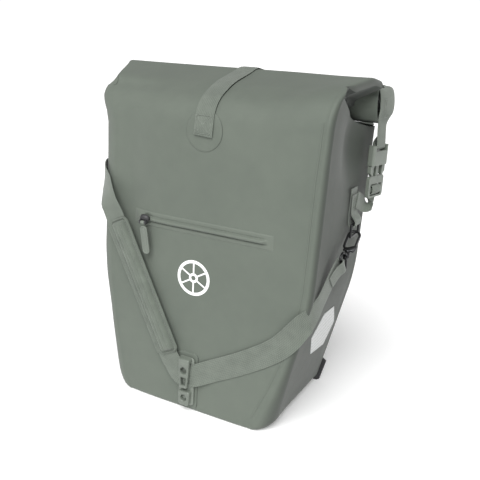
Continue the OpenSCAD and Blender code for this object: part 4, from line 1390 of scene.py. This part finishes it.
def build_print():
    """A plain generic mark on the front: a spoked wheel in a ring."""
    middle = np.array([-4.0, 190.0])
    verts, faces = [], []

    def add_strip(inner, outer):
        start = len(verts)
        n = len(inner)
        for k, (p, q) in enumerate(zip(inner, outer)):
            for point, height in ((p, -0.2), (p, 0.24), (q, 0.24), (q, -0.2)):
                verts.append(front_point(middle[0] + point[0], middle[1] + point[1], height))
        for k in range(n - 1):
            for m in range(4):
                a, b = start + 4 * k + m, start + 4 * k + (m + 1) % 4
                faces.append((a, b, b + 4, a + 4))
        faces.append((start, start + 1, start + 2, start + 3))
        faces.append(tuple(start + 4 * (n - 1) + m for m in (3, 2, 1, 0)))

    for r_in, r_out in ((19.5, 23.5), (3.2, 6.4)):
        t = np.linspace(0, 2 * np.pi, 73)
        add_strip([(r_in * math.cos(a), r_in * math.sin(a)) for a in t],
                  [(r_out * math.cos(a), r_out * math.sin(a)) for a in t])
    for k in range(6):
        a = math.radians(60 * k + 30)
        d, s = np.array([math.cos(a), math.sin(a)]), np.array([-math.sin(a), math.cos(a)])
        r = np.linspace(6.0, 20.0, 6)
        add_strip([d * v - s * 1.0 for v in r], [d * v + s * 1.0 for v in r])
    mark = make_object("front_print", verts, faces, None, None, MATERIALS["print"])
    fix_winding(mark)
    mark.data.set_sharp_from_angle(angle=math.radians(40))
    finish_piece(mark, "bag", ())


# ------------------------------------------------------------------ edge weld

def build_seams():
    """The weld line inside the right front edge."""
    z = np.linspace(18, SHOULDER_Z + 14, 90)
    x = half_width(z, 1) - corner_radius(z, 1) - 3.5
    line = front_point(x, z, 0.1)
    across = np.tile([1.0, 0, 0.0], (len(z), 1))
    seam = ribbon("edge_weld", line, across, 2.2, 0.7, MATERIALS["tpu_fabric"])
    finish_piece(seam, "bag", ())


# ------------------------------------------------------------------ small hardware

def tube(points, radius, ring=12, closed=False):
    """Verts and faces of a round wire along a smooth line; the radius may vary."""
    points = np.asarray(points, float)
    n = len(points)
    radii = np.broadcast_to(np.asarray(radius, float), n)
    if closed:
        along = unit(np.roll(points, -1, axis=0) - np.roll(points, 1, axis=0))
    else:
        along = unit(np.gradient(points, axis=0))
    flat = np.linalg.svd(points - points.mean(axis=0), full_matrices=False)[2][2]
    side = unit(np.cross(along, flat))
    other = np.cross(along, side)
    t = np.linspace(0, 2 * np.pi, ring, endpoint=False)
    spoke = side[:, None] * np.cos(t)[None, :, None] + other[:, None] * np.sin(t)[None, :, None]
    verts = (points[:, None] + spoke * radii[:, None, None]).reshape(-1, 3)
    faces = []
    for i in range(n if closed else n - 1):
        faces += band(i * ring, (i + 1) % n * ring, ring)
    if not closed:
        faces += [tuple(range(ring))[::-1], tuple((n - 1) * ring + k for k in range(ring))]
    return verts, faces


def joined(name, parts, material, sharp=50):
    """One object from several sets of (verts, faces)."""
    verts, faces = [], []
    for v, f in parts:
        start = sum(len(x) for x in verts)
        verts.append(np.asarray(v, float))
        faces += [tuple(i + start for i in face) for face in f]
    obj = make_object(name, np.vstack(verts), faces, None, None, material)
    fix_winding(obj)
    obj.data.set_sharp_from_angle(angle=math.radians(sharp))
    return obj


def placed(part, origin, ax, ay, az):
    """A part's points, given along three axes from an origin."""
    v, f = part
    v = np.asarray(v, float)
    return np.asarray(origin) + v[:, :1] * ax + v[:, 1:2] * ay + v[:, 2:] * az, f


def punched_plate(outline, holes, layers):
    """Verts and faces of a plate with holes; layers are (shrink, height) from back to front."""
    loops = [np.array(outline, float)] + [np.array(h, float) for h in holes]
    rings = []
    for number, loop in enumerate(loops):
        closed = np.vstack([loop[-1], loop, loop[0]])
        edge = unit(closed[2:] - closed[:-2])
        inward = np.stack([-edge[:, 1], edge[:, 0]], axis=1)
        area = 0.5 * np.sum(loop[:, 0] * np.roll(loop[:, 1], -1) - loop[:, 1] * np.roll(loop[:, 0], -1))
        inward *= np.sign(area) * (1 if number == 0 else -1)
        rings.append([np.column_stack([loop + inward * s, np.full(len(loop), h)]) for s, h in layers])
    verts, faces, first = [], [], []
    for level in range(len(layers)):
        for loop_rings in rings:
            first.append(sum(len(v) for v in verts))
            verts.append(loop_rings[level])
    count = len(loops)
    for level in range(len(layers) - 1):
        for k in range(count):
            n = len(loops[k])
            faces += band(first[level * count + k], first[(level + 1) * count + k], n)
    for level in (0, len(layers) - 1):
        polygon = [[Vector(p) for p in loop_rings[level]] for loop_rings in rings]
        index = [first[level * count + k] + i for k in range(count) for i in range(len(loops[k]))]
        faces += [tuple(index[i] for i in tri) for tri in tessellate_polygon(polygon)]
    return np.vstack(verts), faces


def circle(radius, centre=(0, 0), steps=28):
    t = np.linspace(0, 2 * np.pi, steps, endpoint=False)
    return [(centre[0] + radius * math.cos(a), centre[1] + radius * math.sin(a)) for a in t]


EYE_REACH = 47.0                  # from the middle of a snap hook's loop to the far bar of its swivel eye


def build_hooks():
    """Die-cast snap hooks: a bent round wire, a block for the gate, a swivel post and the strap's eye."""
    metal = MATERIALS["black_metal"]
    eyes = []
    for side, name in ((1, "right"), (-1, "left")):
        swivel = JOINTS[f"hook_{name}_swivel"]
        origin = np.array(swivel["pos_m"]) / MM
        a = unit(np.array(swivel["axis"]))
        x = np.array([float(side), 0, 0])
        z = np.cross(x, -a)
        bend, wire = 7.2, 1.55
        turn = np.radians(np.linspace(0, 180, 19))
        loop = [(bend, 1.4)] + [(bend * math.cos(t), -bend * math.sin(t)) for t in turn]
        loop += [(-bend, 8), (-bend, 14), (-6.9, 18), (-5.2, 20.6), (-2, 21.6)]
        path = resample(np.array([origin + x * p + a * q for p, q in loop]), 0.8)
        radii = wire * (1 + 0.12 * np.sin(np.linspace(0, np.pi, len(path))))
        block = [(-6.4, 24.4), (-4.6, 20.2), (-1, 19.4), (4.9, 16.0), (8.9, 15.6), (8.9, 20), (7.2, 24.4)]
        block = [tuple(p) for p in resample(curve_through(block, 0.7), 0.9)]
        rounded = [(0.7, -1.9), (0.15, -1.6), (0, -1.0), (0, 1.0), (0.15, 1.6), (0.7, 1.9)]
        body = placed(punched_plate(block, [], rounded), origin, x, a, z)
        post = lathe([(24.0, 3.3), (24.6, 3.8), (26.4, 3.6), (27.4, 2.6), (27.8, 2.0), (35.0, 2.0),
                      (35.1, 3.0), (36.2, 3.0), (36.8, 1.6)], origin, a, 20)
        hook = joined(f"snap_hook_{name}", [tube(path, radii), body, post], metal)
        finish_piece(hook, f"hook_{name}", [f"hook_{name}"])
        frame_line = [(-4.4, 31.0), (-7.5, 33.4), (-12.6, 36.4), (-15.2, 39.4), (-15.5, 44.6), (-14.2, 46.8),
                      (-11, EYE_REACH), (11, EYE_REACH), (14.2, 46.8), (15.5, 44.6), (15.2, 39.4),
                      (12.6, 36.4), (7.5, 33.4), (4.4, 31.0)]
        ring = curve_through(np.array([origin + z * p + a * q for p, q in frame_line]), 1.0)
        collar = lathe([(28.5, 2.35), (28.5, 4.1), (29.0, 4.6), (32.8, 4.6), (33.3, 4.1), (33.3, 2.35)],
                       origin, a, 24, True)
        eyes += [tube(ring, 1.45), collar]
    finish_piece(joined("swivel_eyes", eyes, metal), "bag", ["strap_eyes"])


def build_keeper():
    """The strap keeper: backing plate, block with a round recess, raised bridge and tapered tongue."""
    sage = MATERIALS["sage_plastic"]
    low, high = mm_box("keeper_plate")
    middle_x = mm_mid("keeper_plate")[0]
    tongue_low, tongue_high = mm_box("keeper_tongue")
    back = FRONT - 1.25

    def at(part, y):
        return placed(part, (middle_x, y, 0), RIGHT, UP, OUT)

    half_h = (high[2] - low[2]) / 2
    strip_outline = [(p, q + (low[2] + high[2]) / 2) for q, p in rounded_outline(half_h, 11.8, 5)]
    strip_plate = punched_plate(strip_outline, [], [(0.5, 0), (0, 0.4), (0, 1.7), (0.6, 2.3)])
    block_mid = 21.5
    block = [(p * (1 - 0.012 * (block_mid - q)), q) for p, q in
             [(b, a + block_mid) for a, b in rounded_outline(10.3, 8.3, 3.2)]]
    recess = circle(4.3, (0, block_mid + 0.6))
    block_plate = punched_plate(block, [recess], [(0, 2.0), (0, 7.2), (0.35, 8.2), (1.2, 8.8)])
    floor_disc = lathe([(2.0, 4.2), (4.6, 4.2), (4.9, 3.4), (5.6, 2.6), (5.9, 1.2)],
                       np.array([middle_x, back, block_mid + 0.6]), OUT, 24)
    stud = lathe([(2.2, 3.9), (4.6, 3.9), (5.3, 3.2), (5.6, 1.6)], np.array([middle_x, back, 63.0]), OUT, 24)
    bridge = [(b, a + high[2] - 3.2) for a, b in rounded_outline(2.9, 8.1, 1.4)]
    bridge_plate = punched_plate(bridge, [], [(0, 1.2), (0, 8.8), (0.4, 9.8), (1.2, 10.3)])
    plate = joined("keeper_plate_moulded", [at(strip_plate, back), at(block_plate, back), floor_disc, stud,
                                            at(bridge_plate, back)], sage)
    finish_piece(plate, "bag", ["keeper_plate"])
    top, foot = tongue_high[2] - 0.2, tongue_low[2] + 0.2
    outline = [(8.0, top - 1.5), (7.2, top), (-7.2, top), (-8.0, top - 1.5), (-7.8, 64), (-7.0, 52),
               (-5.8, 41), (-4.8, foot), (4.8, foot), (5.8, 41), (7.0, 52), (7.8, 64)]
    holes = [circle(4.7, (0, 63)), [(-2.9, 42.4), (2.9, 42.4), (3.9, 53), (-3.9, 53)]]
    tongue = punched_plate(outline, holes, [(0.6, 6.4), (0, 6.9), (0, 9.2), (0.3, 10.0), (0.9, 10.4)])
    tongue = joined("keeper_tongue_moulded", [at(tongue, back)], sage, 35)
    finish_piece(tongue, "keeper_tongue", ["keeper_tongue"])


def build_slider():
    """The zip slider: a rounded die-cast body with two ears and the pin for the puller."""
    mid = mm_mid("zip_slider")
    pivot = np.array(JOINTS["puller_swing"]["pos_m"]) / MM
    profile = [(-6.6, 1.2), (-6.4, 3.0), (-5.2, 4.5), (-3, 5.0), (1, 4.8), (4.2, 3.8), (6.0, 2.4), (6.4, 0.8)]
    body, faces = lathe(profile, np.zeros(3), (1, 0, 0), 28)
    body = body * np.array([1, 0.78, 1.0]) + np.array([mid[0], FRONT - 3.4, mid[2] + 1.0])
    parts = [(body, faces)]
    for x in (-4.1, 4.1):
        ear = [(-1.9, -2.0), (1.0, -2.2), (2.2, -0.6), (2.2, 2.6), (-3.4, 4.4), (-5.4, 3.6), (-5.4, -0.4)]
        plate = punched_plate(ear, [], [(0.25, -0.8), (0, -0.55), (0, 0.55), (0.25, 0.8)])
        parts.append(placed(plate, (pivot[0] + x, pivot[1], pivot[2]), OUT, UP, RIGHT))
    parts.append(lathe([(-4.2, 1.05), (4.2, 1.05)], pivot, (1, 0, 0), 16))
    cast = joined("zip_slider_cast", parts, MATERIALS["black_plastic"])
    finish_piece(cast, "zip_slider", ["zip_slider"])


# ------------------------------------------------------------------ side webbing

def chain_frame(side):
    """Origin at the buckle's mouth, axes through its thickness and across it, and its size against 30 mm."""
    name = "right" if side > 0 else "left"
    low, high = mm_box(f"buckle_female_{name}")
    size = (high[2] - low[2]) / 30
    origin = np.array([(low[0] + high[0]) / 2, (low[1] + high[1]) / 2, low[2]])
    thick = unit(np.array(JOINTS[f"prong_{name}_front_squeeze"]["axis"]))
    thick = thick * np.sign(thick[0] * side)
    return origin, thick, np.array([-thick[1] * side, abs(thick[0]), 0]), size


def box_stitch(name, corners, body):
    """Box stitching on webbing, as one piece that rides the body."""
    thread = capsules(name, box_lines(corners, 2.0, 0.8), 0.4, MATERIALS["thread"])
    finish_piece(thread, body, ())


def build_side_webbing():
    """On each side: the roll's end strap, the tab that holds the ring, and the tail to the male buckle."""
    web = MATERIALS["webbing"]
    for side, name in ((1, "right"), (-1, "left")):
        origin, thick, wide, size = chain_frame(side)
        up = np.array([0, 0, 1.0])

        def at(x, y, z):
            return origin + (thick * x + wide * y + up * z) * size

        roll_end = mm_box("roll")[1][0]
        over = [(roll_end - 8, 70.5, 433.4), (roll_end + 0.2, 70.5, 430.6), (roll_end + 3.6, 69.5, 421),
                (roll_end + 5.0, 66.5, 407), (roll_end + 2.6, 62.4, 391)]
        over = [np.array([side * p[0], p[1], p[2]]) for p in over]
        down = [at(3.4, 0, 32), at(2.9, 0, 26), at(0, 0, 24.0), at(-2.9, 0, 26), at(-3.4, 0, 33),
                at(-2.2, 0, 37), at(1.2, 0, 43)]
        line = curve_through(over + down, 1.6)
        width = mix(36.0, 21.5, smooth((lengths(line) - 34) / 20))
        strap = ribbon(f"end_web_{name}", line, np.tile(wide, (len(line), 1)), width, WEB, web)
        finish_piece(strap, "roll_top", [f"end_strap_{name}"])
        face = roll_end + 6.3
        corners = [(face, 54.5, 397), (face, 74, 397), (face - 2.0, 79, 419), (face - 2.0, 59.5, 419)]
        corners = [np.array([side * p[0], p[1], p[2]]) for p in corners]
        box_stitch(f"end_web_thread_{name}", corners, "roll_top")
        # The tab goes down inside the ring, round its bar and up again outside; heights count from the ring
        ring = np.array(JOINTS[f"ring_{name}_swing"]["pos_m"]) / MM
        bar = abs(ring[0])
        x0 = mm_box("gusset_right")[1][0] - 2.0
        tab = [(x0 - 1.2, 44), (x0 - 2.0, 6), (x0 + 0.3, -3.4), (bar, -3.9), (bar + 3.2, -1.8),
               (bar + 2.9, 4.2), (x0 + 1.6, 12.5), (x0 + 0.9, 24), (x0 + 0.9, 36)]
        line = curve_through([(side * p, ring[1], ring[2] + q) for p, q in tab], 1.6)
        loop = ribbon(f"ring_tab_{name}", line, np.tile([0, 1.0, 0], (len(line), 1)), 24, WEB, web)
        finish_piece(loop, "bag", [f"side_strap_{name}"])

        def off_ring(x, y, z):
            return np.array([side * x, ring[1] + y, ring[2] + z])

        box = [off_ring(x0 + 2.0, y, z) for y, z in ((-8, 17), (8, 17), (8, 32), (-8, 32))]
        box_stitch(f"ring_tab_thread_{name}", box, "bag")
        tail = [off_ring(x0 + 2.5, 2, 29), off_ring(x0 + 3.2, 12, 25), off_ring(x0 + 5.5, 22, 20),
                at(-3.8, -6, -60), at(-4.1, 0, -50), at(-4.1, 0, -38), at(-3.0, 0, -32.4), at(0, 0, -31.3),
                at(3.0, 0, -32.4), at(4.1, 0, -36), at(3.8, 0, -42), at(-0.8, 0, -46)]
        line = curve_through(tail, 1.6)
        share = smooth((lengths(line) - 14) / 26)
        across = mix(np.array([0, 0.42, 0.9]), wide, share[:, None])
        finish_piece(ribbon(f"ladder_web_{name}", line, across, 21.0, WEB, web), "bag", ())


# ------------------------------------------------------------------ camera, light and floor

AZIMUTH = math.radians(27.1)      # of the camera, to the right of straight ahead
ELEVATION = math.radians(17.2)
CAMERA_ROLL = math.radians(3.0)
DISTANCE = 0.865                  # from the target to the camera, in metres
TARGET = Vector((14.5, 0, 222)) * MM
LENS = 48                         # focal length in mm, for a sensor 36 mm wide
FLOOR_REACH = 12                  # metres from the middle of the floor to its edge


def build_stage():
    """Camera, white floor, surround and key light."""
    scene = bpy.context.scene
    scene.view_settings.view_transform = "Standard"
    back = Vector((math.sin(AZIMUTH) * math.cos(ELEVATION), -math.cos(AZIMUTH) * math.cos(ELEVATION),
                   math.sin(ELEVATION)))
    data = bpy.data.cameras.new("camera")
    data.lens = LENS
    data.sensor_width = 36
    data.clip_start, data.clip_end = 0.05, 50
    camera = bpy.data.objects.new("camera", data)
    scene.collection.objects.link(camera)
    camera.location = TARGET + back * DISTANCE
    aim = (-back).to_track_quat("-Z", "Y").to_matrix()
    spin = Vector((0, 0, 1))
    camera.rotation_euler = (aim @ Matrix.Rotation(CAMERA_ROLL, 3, spin)).to_euler()
    scene.camera = camera

    floor_mesh = bpy.data.meshes.new("floor")
    corners = [(x * FLOOR_REACH, y * FLOOR_REACH, 0) for x, y in ((-1, -1), (1, -1), (1, 1), (-1, 1))]
    floor_mesh.from_pydata(corners, [], [(0, 1, 2, 3)])
    floor = bpy.data.objects.new("floor", floor_mesh)
    scene.collection.objects.link(floor)
    material, tree, shader = nodes_of("floor_white")
    coords = add(tree, "ShaderNodeTexCoord").outputs["Object"]
    tree.links.new(tinted(tree, (0.90, 0.90, 0.90), (0.92, 0.92, 0.92), noise_at(tree, coords, 3)),
                   shader.inputs["Base Color"])
    shader.inputs["Roughness"].default_value = 0.9
    shader.inputs["Specular IOR Level"].default_value = 0.1
    # The floor is a lit table, which fills in the cast shadow
    shader.inputs["Emission Color"].default_value = (1, 1, 1, 1)
    shader.inputs["Emission Strength"].default_value = 0.16
    floor_mesh.materials.append(material)

    # The surround is white round the horizon and dim overhead
    world = bpy.data.worlds.new("studio")
    scene.world = world
    world.use_nodes = True
    sky = world.node_tree
    height = sky.nodes.new("ShaderNodeSeparateXYZ")
    sky.links.new(sky.nodes.new("ShaderNodeTexCoord").outputs["Generated"], height.inputs[0])
    ramp = sky.nodes.new("ShaderNodeValToRGB")
    sky.links.new(height.outputs["Z"], ramp.inputs[0])
    ramp.color_ramp.elements[0].position = 0.14
    ramp.color_ramp.elements[0].color = (1.05, 1.05, 1.05, 1)
    ramp.color_ramp.elements[1].position = 0.36
    ramp.color_ramp.elements[1].color = (0.16, 0.16, 0.16, 1)
    sky.links.new(ramp.outputs[0], sky.nodes["Background"].inputs["Color"])

    sun = bpy.data.lights.new("key", "SUN")
    sun.energy = 4.15
    sun.angle = math.radians(48)
    key = bpy.data.objects.new("key", sun)
    scene.collection.objects.link(key)
    key.rotation_euler = Vector((-0.12, 0.645, -0.755)).to_track_quat("-Z", "Y").to_euler()


build_stage()
build_shell()
build_rear()
COVER_GRID = build_cover()
build_tucks(COVER_GRID)
build_roll()
build_neck()
build_top_strap()
build_strap_patch()
build_shoulder_strap()
build_pad()
build_zip()
build_print()
build_seams()
build_hooks()
build_keeper()
build_slider()
build_side_webbing()
build_reflectors()
build_rear_anchor()
build_pouch()

# ------------------------------------------------------------------ CAD nodes that stay: edges and materials

SLOT_OF = {row["node"]: row["material_slot"] for row in frame["record"]["subparts"]}
for node, obj in frame["nodes"].items():
    obj.data.materials.clear()
    obj.data.materials.append(MATERIALS[SLOT_OF[node]])
    if not obj.hide_render:
        bevel = obj.modifiers.new("edges", "BEVEL")
        soft_edge = SLOT_OF[node] == "sage_plastic"
        bevel.width = 0.0011 if soft_edge else 0.0005
        bevel.segments = 3 if soft_edge else 2
        bevel.limit_method = "ANGLE"
        bevel.angle_limit = math.radians(40)
